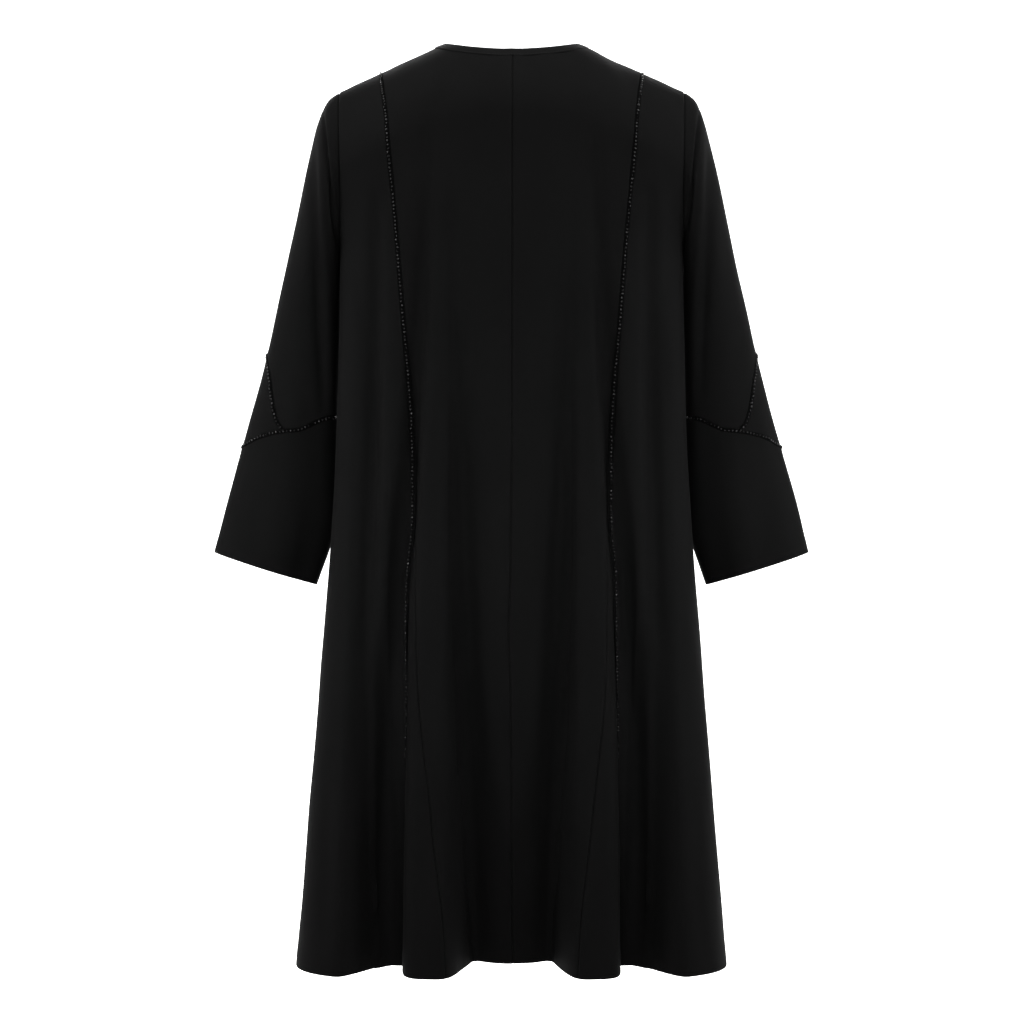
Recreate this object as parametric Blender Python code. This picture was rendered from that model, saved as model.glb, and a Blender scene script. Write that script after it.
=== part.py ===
"""Abaya cloak, worn: an open-fronted coat of black crepe with princess seams, back godets and flared cuffs.

Metres, +Z up. The front faces -Y and the wearer's left is +X. The origin lies between the two points
where the neck edge meets the shoulder seams, where the wearer's shoulders carry the cloak. Heights are
given as drops below it. Every panel is cut from one body surface or one sleeve surface, so that
neighbouring panels share their seam lines. The right half mirrors the left.
"""

import math

import bpy
import numpy as np

# Cloth
WALL = 0.002
EDGE_SETBACK = 0.00015  # each cut edge stands this far back from its seam line
BAND_WIDTH = 0.008
BAND_WALL = 0.001
BAND_CLEARANCE = 0.0007

# Heights, as drops below the neck point
UNDERARM_DROP = 0.262
HEM_DROP = 1.1645
HEM_DIP = 0.06  # how far the hem falls for each metre that a fold stands out

# Neck and shoulders
NECK_HALF_WIDTH = 0.085
NECK_BACK_DEPTH = 0.055
NECK_FRONT_DEPTH = 0.090
SHOULDER_Y = -0.005
SHOULDER_ROUNDING = 1.6
BACK_YOKE = 0.110  # height over which the back rounds from the shoulder line to its full depth
FRONT_YOKE = 0.160
FRONT_EDGE = 0.0015  # half the slit between the two front edges at the neck
FRONT_EDGE_AT_HEM = 0.005

# Body rings are rounded boxes with this exponent: 2 is an ellipse
SQUARENESS = 2.3

# drop, half width, centre's y, depth behind the centre, depth before it
RINGS = (
    (0.000, 0.285, 0.000, 0.098, 0.112),
    (0.062, 0.262, 0.000, 0.098, 0.114),
    (0.112, 0.249, 0.002, 0.097, 0.117),
    (0.162, 0.239, 0.004, 0.097, 0.121),
    (0.212, 0.2265, 0.007, 0.098, 0.129),
    (0.262, 0.2185, 0.011, 0.095, 0.136),
    (0.300, 0.2183, 0.016, 0.090, 0.139),
    (0.360, 0.2190, 0.021, 0.083, 0.142),
    (0.460, 0.2203, 0.023, 0.079, 0.141),
    (0.585, 0.2264, 0.022, 0.081, 0.141),
    (0.724, 0.2362, 0.024, 0.086, 0.150),
    (0.850, 0.2456, 0.028, 0.089, 0.161),
    (1.000, 0.2575, 0.032, 0.093, 0.175),
    (1.180, 0.2716, 0.036, 0.100, 0.190),
)

# distance from the centre, drop: the shoulder line, carried on over the neck opening
SHOULDER_LINE = (
    (0.000, -0.0100),
    (0.040, -0.0075),
    (0.0815, 0.0000),
    (0.0917, 0.0030),
    (0.1244, 0.0187),
    (0.1707, 0.0392),
    (0.2213, 0.0622),
    (0.2600, 0.0800),
)

# share of the armhole's height from the underarm, distance from the centre
ARMHOLE = ((0.0, 0.2185), (0.25, 0.2172), (0.5, 0.2170), (0.75, 0.2185), (1.0, 0.2213))

# drop, distance from the centre
PRINCESS_SEAM = (
    (0.000, 0.1740),
    (0.036, 0.1680),
    (0.109, 0.1564),
    (0.146, 0.1536),
    (0.234, 0.1449),
    (0.359, 0.1350),
    (0.468, 0.1269),
    (0.570, 0.1242),
    (0.625, 0.1245),
    (0.667, 0.1300),
    (0.734, 0.1312),
    (0.900, 0.1300),
    (1.180, 0.1300),
)
GODET_SEAM = (
    (0.625, 0.1242),
    (0.641, 0.1225),
    (0.678, 0.1199),
    (0.730, 0.1162),
    (0.777, 0.1149),
    (0.843, 0.1104),
    (0.934, 0.1014),
    (1.010, 0.0938),
    (1.094, 0.0839),
    (1.180, 0.0790),
)

# Folds: each row is one crest or trough line, from the centre back round the side to the centre front.
# Its places are distances from the centre at the drops of FOLD_DROPS (None is the side itself), and its
# depths are how far the cloth stands out there, in millimetres.
FOLD_DROPS = (0.160, 0.300, 0.450, 0.600, 0.720, 0.850, 1.000, 1.180)
BACK_FOLDS = (
    ("centre crest", (0.000, 0.000, 0.000, 0.000, 0.000, 0.000, 0.000, 0.000),
     (0, 0, -1, -3, -7, -16, -35, -70)),
    ("inner trough", (0.072, 0.070, 0.067, 0.064, 0.062, 0.060, 0.054, 0.047),
     (0, -1, -4, -8, -14, -24, -40, -73)),
    ("tube crest", (0.090, 0.090, 0.092, 0.093, 0.094, 0.097, 0.0985, 0.099),
     (0, 1, 3, 5, 6, 8, 10, 12)),
    ("main trough", (0.105, 0.112, 0.122, 0.129, 0.138, 0.137, 0.137, 0.137),
     (-1, -3, -6, -11, -18, -27, -38, -50)),
    ("bead crest", (0.140, 0.143, 0.149, 0.155, 0.159, 0.158, 0.158, 0.158),
     (0, 0, 1, 0, -8, -22, -35, -48)),
    ("side trough", (0.165, 0.168, 0.174, 0.180, 0.181, 0.180, 0.177, 0.172),
     (0, -1, -4, -5, -7, -13, -21, -30)),
    ("side crest", (0.200, 0.200, 0.202, 0.203, 0.203, 0.204, 0.206, 0.208),
     (0, 0, 1, 3, 6, 10, 15, 20)),
)
SIDE_LINE = ("side", None, (0, 0, 0, 0, 0, 0, 0, 0))
FRONT_FOLDS = (
    ("front side trough", (0.200, 0.195, 0.190, 0.190, 0.192, 0.195, 0.198, 0.200),
     (0, 0, -3, -6, -10, -15, -21, -30)),
    ("front side crest", (0.165, 0.160, 0.155, 0.152, 0.152, 0.153, 0.155, 0.157),
     (0, 0, 2, 4, 5, 6, 8, 10)),
    ("front trough", (0.120, 0.115, 0.110, 0.108, 0.107, 0.107, 0.108, 0.110),
     (0, -1, -4, -8, -13, -19, -27, -38)),
    ("front crest", (0.075, 0.075, 0.072, 0.070, 0.068, 0.067, 0.066, 0.065),
     (0, 0, 1, 2, 3, 4, 5, 6)),
    ("front edge", (0.000, 0.000, 0.000, 0.000, 0.000, 0.000, 0.000, 0.000),
     (0, 0, -1, -3, -6, -10, -15, -22)),
)
TUBE_SHARPNESS = 2.2
TUBE_INNER_SHARPNESS = 2.0
TUBE_LEAN_MM = (0, 0, 0, 0, 1, 4, 8, 11)  # how far the tube's outer wall leans over the main trough
LEAN_PEAK = 27 / 4  # makes the lean's curve, share * share * (1 - share), one high

# Sleeve stations from armhole to cuff: outer edge's x and drop, inner edge's x and drop, centre's y,
# half depth, share of the armhole's own outline
SLEEVE = (
    (0.2213, 0.0622, 0.2185, 0.2620, 0.002, 0.056, 1.00),
    (0.2326, 0.0700, 0.2190, 0.2690, 0.000, 0.056, 0.75),
    (0.2396, 0.0805, 0.2194, 0.2780, -0.002, 0.056, 0.50),
    (0.2458, 0.0960, 0.2196, 0.2900, -0.005, 0.056, 0.25),
    (0.2534, 0.1212, 0.2197, 0.3060, -0.009, 0.056, 0.08),
    (0.2682, 0.1843, 0.2198, 0.3370, -0.015, 0.055, 0.00),
    (0.2857, 0.2611, 0.2200, 0.3900, -0.022, 0.053, 0.00),
    (0.3031, 0.3382, 0.2203, 0.4500, -0.029, 0.051, 0.00),
    (0.3220, 0.4158, 0.2215, 0.5100, -0.035, 0.049, 0.00),
    (0.3434, 0.4935, 0.2245, 0.5680, -0.040, 0.047, 0.00),
    (0.3657, 0.5714, 0.2300, 0.6260, -0.043, 0.045, 0.00),
    (0.3866, 0.6518, 0.2532, 0.6943, -0.045, 0.043, 0.00),
)
# station, angle from the outer edge in degrees, depth in millimetres: the long trough beside the body
SLEEVE_TROUGH = ((0, 100, 0.0), (3, 102, 0.0), (5, 105, 2.5), (7, 110, 4.0), (9, 122, 4.5), (11, 138, 5.0))
SLEEVE_TROUGH_REACH = 40  # degrees to either side
# angle round the sleeve from its outer edge in degrees, drop: the same on the back and the front
WEDGE_SEAM = ((0, 0.395), (23, 0.407), (40, 0.429), (52, 0.455), (60, 0.472), (70, 0.489), (82, 0.4962))
ELBOW_SEAM = (
    (0, 0.517),
    (31, 0.510),
    (49, 0.503),
    (65, 0.499),
    (82, 0.4962),
    (95, 0.495),
    (105, 0.491),
    (114, 0.487),
    (126, 0.482),
    (142, 0.479),
    (180, 0.477),
)

# Mesh divisions
UPPER_ROWS = 10
LOWER_SHARES = (0.0, 0.07, 0.15, 0.24, 0.33, 0.4045, 0.46, 0.53, 0.60, 0.67, 0.74, 0.81, 0.88, 0.94, 1.0)
GODET_ROW = 5  # the row of LOWER_SHARES at the godet's tip
GODET_TIP = 0.75  # the blunt tip's place between the row below it and the tip's own row
NECK_COLUMNS = 5
SHOULDER_COLUMNS = 4
SIDE_COLUMNS = 10
GODET_COLUMNS = 6
FRONT_FOLD_COLUMNS = 4  # columns from one fold line to the next
FRONT_NECK_COLUMNS = 10
FRONT_SHOULDER_COLUMNS = 10
SLEEVE_UPPER_SHARES = (0.0, 0.1, 0.2, 0.3, 0.4, 0.52, 0.65, 0.78, 0.89, 1.0)
SLEEVE_LOWER_ROWS = 4
WEDGE_ROWS = 3
WEDGE_SIDE_COLUMNS = 5  # columns from the outer edge to the wedge's tip
WEDGE_TIP = 0.8

SMALL = 1e-4
RING_STEP = 0.01  # radians either way, for the direction along a plain ring
NORMAL_STEP = 0.004  # radians either way, for the direction square to the folded surface
STATION_STEP = 0.05
FIRST_GUESS = 0.02  # drop below the shoulder line from which a place on the shoulders is sought
ROUNDS = 8
SEAM_SAMPLES = 400
CREASE_ANGLE = 50  # edges sharper than this many degrees are shaded sharp


def smooth(places, values, at):
    """A smooth curve through a table's values, held level past its ends."""
    places = np.asarray(places, float)
    values = np.asarray(values, float)
    at = np.clip(at, places[0], places[-1])
    slopes = np.gradient(values, places)
    i = np.clip(np.searchsorted(places, at, side="right") - 1, 0, len(places) - 2)
    step = places[i + 1] - places[i]
    t = (at - places[i]) / step
    rise = t * t * (3 - 2 * t)
    start = t * (1 - t) * (1 - t) * step * slopes[i]
    end = t * t * (t - 1) * step * slopes[i + 1]
    return values[i] + (values[i + 1] - values[i]) * rise + start + end


def column(table, number):
    return [row[number] for row in table]


def unit(vectors):
    return vectors / np.linalg.norm(vectors, axis=-1, keepdims=True)


def ring(drop):
    """Half width, centre's y, back depth and front depth of the body's ring at a drop."""
    drops = column(RINGS, 0)
    return [smooth(drops, column(RINGS, number), drop) for number in (1, 2, 3, 4)]


def shoulder_drop(x):
    return smooth(column(SHOULDER_LINE, 0), column(SHOULDER_LINE, 1), np.abs(x))


def angle_of(x, drop, front):
    """The ring angle of a point x from the centre: 0 is the centre back, a right angle the side."""
    share = np.clip(x / ring(drop)[0], 0.0, 1.0)
    angle = np.arcsin(share ** (SQUARENESS / 2))
    return math.pi - angle if front else angle


def fold_lines(drop):
    """Ring angle and depth of every fold line at a drop, in order round the body."""
    half_width = ring(drop)[0]
    lines = []
    for front, rows in ((False, BACK_FOLDS + (SIDE_LINE,)), (True, FRONT_FOLDS)):
        for _, places, depths in rows:
            depth = smooth(FOLD_DROPS, depths, drop) / 1000
            if places is None:
                lines.append((np.full_like(drop, math.pi / 2), depth))
                continue
            share = np.clip(smooth(FOLD_DROPS, places, drop) / half_width, 0.0, 1.0)
            angle = np.arcsin(share ** (SQUARENESS / 2))
            lines.append((math.pi - angle if front else angle, depth))
    return lines


def folds(angle, drop):
    """How far the folds stand out at a ring angle, and how far they lean round the ring."""
    angle = np.arccos(np.clip(np.cos(angle), -1.0, 1.0))
    lines = fold_lines(drop)
    out = np.zeros_like(angle)
    lean = np.zeros_like(angle)
    for number, ((start, high), (end, low)) in enumerate(zip(lines, lines[1:])):
        share = (angle - start) / (end - start)
        inside = (share >= 0) & (share <= 1)
        share = np.clip(share, 0, 1)
        name = BACK_FOLDS[number][0] if number < len(BACK_FOLDS) else ""
        if name == "inner trough":
            share = 1 - (1 - share) ** TUBE_INNER_SHARPNESS
        if name == "tube crest":
            bump = LEAN_PEAK * share**2 * (1 - share)
            lean = np.where(inside, smooth(FOLD_DROPS, TUBE_LEAN_MM, drop) / 1000 * bump, lean)
            share = share**TUBE_SHARPNESS
        rise = share * share * (3 - 2 * share)
        out = np.where(inside, high + (low - high) * rise, out)
    return out, lean


def plain_ring_point(angle, drop):
    """x and y on the body's ring before its folds and before the shoulders round it in."""
    half_width, centre, back, front = ring(drop)
    sine, cosine = np.sin(angle), np.cos(angle)
    x = half_width * np.sign(sine) * np.abs(sine) ** (2 / SQUARENESS)
    depth = np.where(cosine > 0, back, front)
    return x, centre + depth * np.sign(cosine) * np.abs(cosine) ** (2 / SQUARENESS)


def body_point(angle, drop):
    """A point of the body's outer surface."""
    x, y = plain_ring_point(angle, drop)
    ahead = plain_ring_point(angle + RING_STEP, drop)
    behind = plain_ring_point(angle - RING_STEP, drop)
    along = unit(np.stack([ahead[0] - behind[0], ahead[1] - behind[1]], -1))
    out, lean = folds(angle, drop)
    side = np.where(np.sin(angle) < 0, -1.0, 1.0)
    x = x - along[..., 1] * out + along[..., 0] * lean * side
    y = y + along[..., 0] * out + along[..., 1] * lean * side
    yoke = np.where(np.cos(angle) > 0, BACK_YOKE, FRONT_YOKE)
    below = np.clip((drop - shoulder_drop(x)) / yoke, 0.0, 1.0)
    fullness = (1 - (1 - below) ** SHOULDER_ROUNDING) ** (1 / SHOULDER_ROUNDING)
    return np.stack([x, SHOULDER_Y + (y - SHOULDER_Y) * fullness, -drop], -1)


def body_normal(angle, drop):
    """The outward direction of the body's surface, from small steps round it and down it."""
    around = body_point(angle + NORMAL_STEP, drop) - body_point(angle - NORMAL_STEP, drop)
    down = body_point(angle, drop + SMALL) - body_point(angle, drop - SMALL)
    return unit(np.cross(around, down))


def shoulder_normal(x):
    slope = (shoulder_drop(x + SMALL) - shoulder_drop(x - SMALL)) / (2 * SMALL)
    return unit(np.stack([slope, np.zeros_like(x), np.ones_like(x)], -1))


def surface_drop(x, y, front):
    """The drop at which the body's surface passes a place on plan, for the top of the shoulders."""
    shoulder = shoulder_drop(x)
    drop = shoulder + FIRST_GUESS
    for _ in range(ROUNDS):
        fullness = np.clip((y - SHOULDER_Y) / (body_full_y(x, drop, front) - SHOULDER_Y), 0.0, 1.0)
        below = 1 - (1 - fullness**SHOULDER_ROUNDING) ** (1 / SHOULDER_ROUNDING)
        drop = shoulder + (FRONT_YOKE if front else BACK_YOKE) * below
    return drop


def top_drop(x, front):
    """The drop of a panel's top edge: the neck edge near the centre, and the shoulder line past it."""
    x = np.asarray(x, float)
    depth = -NECK_FRONT_DEPTH if front else NECK_BACK_DEPTH
    neck_y = SHOULDER_Y + depth * np.sqrt(np.clip(1 - (x / NECK_HALF_WIDTH) ** 2, 0.0, 1.0))
    return surface_drop(x, neck_y, front)


def body_full_y(x, drop, front):
    return plain_ring_point(angle_of(x, drop, front), drop)[1]


def upper_drop(x, share, front):
    """The drop of a row that stands share of the way from the underarm to the top edge."""
    return UNDERARM_DROP + (top_drop(x, front) - UNDERARM_DROP) * share


def hem_drop(angle):
    out, _ = folds(angle, np.full_like(angle, HEM_DROP))
    deepest = min(row[2][-1] for row in BACK_FOLDS) / 1000
    return HEM_DROP + HEM_DIP * (out - deepest)


def lower_row(angles, share):
    drops = UNDERARM_DROP + (hem_drop(angles) - UNDERARM_DROP) * share
    return angles, drops


def princess_x(drop):
    return smooth(column(PRINCESS_SEAM, 0), column(PRINCESS_SEAM, 1), drop)


def godet_x(drop):
    return smooth(column(GODET_SEAM, 0), column(GODET_SEAM, 1), drop)


def upper_princess_x(share):
    """The princess seam's distance from the centre on a row above the underarm."""
    x = princess_x(UNDERARM_DROP)
    for _ in range(ROUNDS):
        x = princess_x(upper_drop(x, share, False))
    return x


def armhole_x(share):
    return smooth(column(ARMHOLE, 0), column(ARMHOLE, 1), share)


def even(count):
    return np.linspace(0.0, 1.0, count + 1)


# Shares of the armhole's height at which the rows above the underarm stand
UPPER_SHARES = (1 - np.cos(math.pi * even(UPPER_ROWS))) / 2


def rows_of(row_places):
    """Points and normals of a grid from its rows of ring angles and drops."""
    angles = np.array([row[0] for row in row_places])
    drops = np.array([row[1] for row in row_places])
    safe = np.where(np.abs(drops - shoulder_drop_at(angles, drops)) < 2 * SMALL, drops + 2 * SMALL, drops)
    normals = body_normal(angles, safe)
    return body_point(angles, drops), normals


def shoulder_drop_at(angles, drops):
    return shoulder_drop(plain_ring_point(angles, drops)[0])


def upper_rows(inner_x, outer_x, low_places, top_places, front):
    """Rows from the top edge down to the underarm, as ring angles and drops.

    The places of the columns, 0 at the inner seam and 1 at the outer one, change evenly from
    low_places at the underarm to top_places at the top edge.
    """
    rows = []
    for share in UPPER_SHARES[::-1]:
        places = low_places + (top_places - low_places) * share
        x = inner_x(share) + (outer_x(share) - inner_x(share)) * places
        drops = upper_drop(x, share, front)
        rows.append((angle_of(x, drops, front), drops))
    return rows


def with_shoulder(points, normals, first_column):
    """The top row's normals along the shoulder seam, which the back and the front share."""
    chosen = slice(first_column, None)
    normals[0, chosen] = shoulder_normal(points[0, chosen, 0])
    return points, normals


def centre_back_grid():
    neck_share = NECK_HALF_WIDTH / upper_princess_x(1.0)
    neck = neck_share * np.sin(even(NECK_COLUMNS) * math.pi / 2)
    shoulder = neck_share + (1 - neck_share) * even(SHOULDER_COLUMNS)[1:]
    top_places = np.concatenate([neck, shoulder])
    places = even(NECK_COLUMNS + SHOULDER_COLUMNS)
    rows = upper_rows(lambda share: 0.0, upper_princess_x, places, top_places, False)
    for number, share in enumerate(LOWER_SHARES[1:], 1):
        seam = princess_x if number <= GODET_ROW else godet_x
        drop = UNDERARM_DROP + (HEM_DROP - UNDERARM_DROP) * share
        rows.append(lower_row(angle_of(seam(drop) * places, drop, False), share))
    return with_shoulder(*rows_of(rows), NECK_COLUMNS)


def godet_grid():
    rows = []
    for share in LOWER_SHARES[GODET_ROW:]:
        drop = UNDERARM_DROP + (HEM_DROP - UNDERARM_DROP) * share
        inner = princess_x(drop) if share == LOWER_SHARES[GODET_ROW] else godet_x(drop)
        x = inner + (princess_x(drop) - inner) * even(GODET_COLUMNS)
        rows.append(lower_row(angle_of(x, drop, False), share))
    points, normals = rows_of(rows)
    points[0] = points[1] + (points[0] - points[1]) * GODET_TIP
    normals[0] = unit(normals[1] + (normals[0] - normals[1]) * GODET_TIP)
    return points, normals


def side_back_grid():
    underarm_angles = angle_of(princess_x(UNDERARM_DROP), UNDERARM_DROP, False)
    angles = underarm_angles + (math.pi / 2 - underarm_angles) * even(SIDE_COLUMNS)
    x = plain_ring_point(angles, np.full_like(angles, UNDERARM_DROP))[0]
    low_places = (x - x[0]) / (x[-1] - x[0])
    rows = upper_rows(upper_princess_x, armhole_x, low_places, even(SIDE_COLUMNS), False)
    for share in LOWER_SHARES[1:]:
        drop = UNDERARM_DROP + (HEM_DROP - UNDERARM_DROP) * share
        start = angle_of(princess_x(drop), drop, False)
        rows.append(lower_row(start + (math.pi / 2 - start) * even(SIDE_COLUMNS), share))
    points, normals = rows_of(rows)
    return with_shoulder(points, normals, 0)


def front_angles(drop):
    """Ring angles of the front's columns, which follow its fold lines from the edge to the side."""
    share = (drop - UNDERARM_DROP) / (HEM_DROP - UNDERARM_DROP)
    edge = angle_of(FRONT_EDGE + (FRONT_EDGE_AT_HEM - FRONT_EDGE) * share, drop, True)
    lines = [line[0] for line in fold_lines(drop)[len(BACK_FOLDS) : -1]]
    knots = [edge] + lines[::-1]
    spans = len(knots) - 1
    return np.interp(spans * even(spans * FRONT_FOLD_COLUMNS), range(spans + 1), knots)


def front_grid():
    """The front panel, with its first column at the front edge and its last at the side."""
    top_x = armhole_x(1.0)
    neck_share = (NECK_HALF_WIDTH - FRONT_EDGE) / (top_x - FRONT_EDGE)
    neck = neck_share * np.sin(even(FRONT_NECK_COLUMNS) * math.pi / 2)
    shoulder = neck_share + (1 - neck_share) * even(FRONT_SHOULDER_COLUMNS)[1:]
    angles = front_angles(np.float64(UNDERARM_DROP))
    x = plain_ring_point(angles, np.full_like(angles, UNDERARM_DROP))[0]
    low_places = (x - x[0]) / (x[-1] - x[0])
    top_places = np.concatenate([neck, shoulder])
    rows = upper_rows(lambda share: FRONT_EDGE, armhole_x, low_places, top_places, True)
    for share in LOWER_SHARES[1:]:
        drop = np.float64(UNDERARM_DROP + (HEM_DROP - UNDERARM_DROP) * share)
        rows.append(lower_row(front_angles(drop), share))
    return with_shoulder(*rows_of(rows), FRONT_NECK_COLUMNS)


def armhole_loop(back, front):
    """The armhole's points and normals, from the shoulder tip down the back and up the front."""
    loops = []
    for number in (0, 1):
        down = back[number][: UPPER_ROWS + 1, -1]
        up = front[number][1:UPPER_ROWS, -1][::-1]
        loops.append(np.concatenate([down, up]))
    return loops


SLEEVE_COLUMNS = 2 * UPPER_ROWS
SLEEVE_ANGLES = 2 * math.pi * np.arange(SLEEVE_COLUMNS) / SLEEVE_COLUMNS


def sleeve_trough(stations):
    """How deep the sleeve's long trough is on each column, the same on the back and the front."""
    places = column(SLEEVE_TROUGH, 0)
    middle = smooth(places, column(SLEEVE_TROUGH, 1), stations)
    deepest = smooth(places, column(SLEEVE_TROUGH, 2), stations) / 1000
    degrees = np.degrees(np.arccos(np.cos(SLEEVE_ANGLES)))
    share = np.clip(np.abs(degrees - middle) / SLEEVE_TROUGH_REACH, 0.0, 1.0)
    return deepest * (1 + np.cos(math.pi * share)) / 2


def sleeve_points(stations, loop):
    """Sleeve points for a station number on each column, from the outer edge by way of the back."""
    numbers = range(len(SLEEVE))
    outer_x, outer_drop, inner_x, inner_drop, centre, depth, loop_share = (
        smooth(numbers, column(SLEEVE, item), stations) for item in range(7)
    )
    squeeze = 1 - sleeve_trough(stations) / depth
    across = (1 + np.cos(SLEEVE_ANGLES) * squeeze) / 2
    x = inner_x + (outer_x - inner_x) * across
    drop = inner_drop + (outer_drop - inner_drop) * across
    y = centre + depth * np.sin(SLEEVE_ANGLES) * squeeze
    made = np.stack([x, y, -drop], -1)
    own = np.stack([x, y + loop_places(loop), -drop], -1)
    share = np.clip(loop_share, 0.0, 1.0)[..., None]
    blended = made + (own - made) * share
    at_armhole = (np.asarray(stations) < SMALL)[..., None]
    return np.where(at_armhole, loop, blended)


def loop_places(loop):
    """How much further out in y the armhole lies than the first station's plain ring, column by column."""
    plain = SLEEVE[0][4] + SLEEVE[0][5] * np.sin(SLEEVE_ANGLES)
    return loop[:, 1] - plain


def station_at_drop(table, loop):
    """The station on each column where the sleeve reaches the drop that a seam table gives."""
    degrees = np.degrees(np.arccos(np.cos(SLEEVE_ANGLES)))
    wanted = smooth(column(table, 0), column(table, 1), degrees)
    fine = np.linspace(1.0, len(SLEEVE) - 1.0, SEAM_SAMPLES)
    drops = np.array([-sleeve_points(np.full(SLEEVE_COLUMNS, s), loop)[:, 2] for s in fine])
    return np.array([np.interp(wanted[k], drops[:, k], fine) for k in range(SLEEVE_COLUMNS)])


def sleeve_grids(loop, loop_normals):
    """Points and normals of the upper sleeve, the lower sleeve and the wedge, and the armhole's normals."""
    elbow = station_at_drop(ELBOW_SEAM, loop)
    wedge = station_at_drop(WEDGE_SEAM, loop)
    far = np.minimum(np.arange(SLEEVE_COLUMNS), SLEEVE_COLUMNS - np.arange(SLEEVE_COLUMNS))
    upper_end = np.where(far < WEDGE_SIDE_COLUMNS, wedge, elbow)
    last = len(SLEEVE) - 1
    upper_stations = [upper_end * share for share in SLEEVE_UPPER_SHARES]
    lower_stations = [elbow + (last - elbow) * share for share in even(SLEEVE_LOWER_ROWS)]
    wedge_stations = [upper_end + (elbow - upper_end) * share for share in even(WEDGE_ROWS)]
    grids = []
    for stations in (upper_stations, lower_stations, wedge_stations):
        points = np.array([sleeve_points(row, loop) for row in stations])
        normals = np.array([sleeve_normals(row, loop) for row in stations])
        grids.append([points, normals])
    shared = unit(loop_normals + grids[0][1][0])
    grids[0][1][0] = shared
    return grids, shared


def sleeve_normals(stations, loop):
    """Outward directions on the sleeve at a station number on each column."""
    last = len(SLEEVE) - 1
    before = sleeve_points(np.clip(stations - STATION_STEP, 0.0, last), loop)
    after = sleeve_points(np.clip(stations + STATION_STEP, 0.0, last), loop)
    here = sleeve_points(stations, loop)
    around = np.roll(here, -1, 0) - np.roll(here, 1, 0)
    return unit(np.cross(after - before, around))


def wedge_patch(grid):
    """The wedge's columns, from its tip on the front round the outer edge to its tip on the back."""
    count = WEDGE_SIDE_COLUMNS
    order = list(range(SLEEVE_COLUMNS - count, SLEEVE_COLUMNS)) + list(range(count + 1))
    made = []
    for values in grid:
        patch = values[:, order].copy()
        patch[:, 0] = patch[:, 1] + (patch[:, 0] - patch[:, 1]) * WEDGE_TIP
        patch[:, -1] = patch[:, -2] + (patch[:, -1] - patch[:, -2]) * WEDGE_TIP
        made.append(patch)
    return made[0], unit(made[1])


def set_back(points, normals, tube):
    """Moves each cut edge back from its seam line, square to the seam and within the cloth."""
    moved = points.copy()
    edges = [(np.s_[0], np.s_[1]), (np.s_[-1], np.s_[-2])]
    if not tube:
        edges += [(np.s_[:, 0], np.s_[:, 1]), (np.s_[:, -1], np.s_[:, -2])]
    for edge, inside in edges:
        line = points[edge]
        if tube:
            along = np.roll(line, -1, 0) - np.roll(line, 1, 0)
        else:
            along = np.gradient(line, axis=0)
        square = unit(np.cross(along, normals[edge]))
        inward = np.sum(square * (points[inside] - line))
        moved[edge] += square * EDGE_SETBACK * np.sign(inward)
    return moved


def cloth_material(name, colour, roughness):
    material = bpy.data.materials.new(name)
    material.use_nodes = True
    shader = material.node_tree.nodes["Principled BSDF"]
    shader.inputs["Base Color"].default_value = (*colour, 1.0)
    shader.inputs["Roughness"].default_value = roughness
    shader.inputs["Metallic"].default_value = 0.0
    material.diffuse_color = (*colour, 1.0)
    return material


def wall(name, outer, inner, tube, material):
    """One closed solid between two grids of points."""
    rows, columns = outer.shape[:2]
    points = np.concatenate([outer.reshape(-1, 3), inner.reshape(-1, 3)])
    under = rows * columns
    faces = []
    for i in range(rows - 1):
        for j in range(columns if tube else columns - 1):
            k = (j + 1) % columns
            a, b, c, d = i * columns + j, i * columns + k, (i + 1) * columns + k, (i + 1) * columns + j
            faces += [(a, b, c), (a, c, d)]
            faces += [(under + c, under + b, under + a), (under + d, under + c, under + a)]
    loops = []
    if tube:
        loops.append([j for j in range(columns)])
        loops.append([(rows - 1) * columns + j for j in reversed(range(columns))])
    else:
        top = [j for j in range(columns)]
        right = [i * columns + columns - 1 for i in range(1, rows)]
        bottom = [(rows - 1) * columns + j for j in reversed(range(columns - 1))]
        left = [i * columns for i in reversed(range(1, rows - 1))]
        loops.append(top + right + bottom + left)
    for loop in loops:
        for here, after in zip(loop, loop[1:] + loop[:1]):
            # neighbouring panels split their facing edges along the same diagonal
            if points[here][2] > points[after][2]:
                faces.append((after, here, under + here))
                faces.append((after, under + here, under + after))
            else:
                faces.append((after, here, under + after))
                faces.append((here, under + here, under + after))
    mesh = bpy.data.meshes.new(name)
    mesh.from_pydata([tuple(point) for point in points], [], faces)
    mesh.materials.append(material)
    mesh.shade_smooth()
    mesh.set_sharp_from_angle(angle=math.radians(CREASE_ANGLE))
    face_outward(mesh)
    obj = bpy.data.objects.new(name, mesh)
    bpy.context.scene.collection.objects.link(obj)
    return obj


def face_outward(mesh):
    """Turns a closed mesh's faces round if they enclose a negative volume."""
    mesh.calc_loop_triangles()
    volume = 0.0
    for triangle in mesh.loop_triangles:
        a, b, c = (mesh.vertices[number].co for number in triangle.vertices)
        volume += a.dot(b.cross(c))
    if volume < 0:
        mesh.flip_normals()


def mirrored(values):
    return values * np.array([-1.0, 1.0, 1.0])


def panel(name, points, normals, material, tube=False):
    """Makes a panel's left and right objects from its left grid."""
    outer = set_back(points, normals, tube)
    inner = outer - normals * WALL
    wall(name + "_left", outer, inner, tube, material)
    wall(name + "_right", mirrored(outer), mirrored(inner), tube, material)


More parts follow.
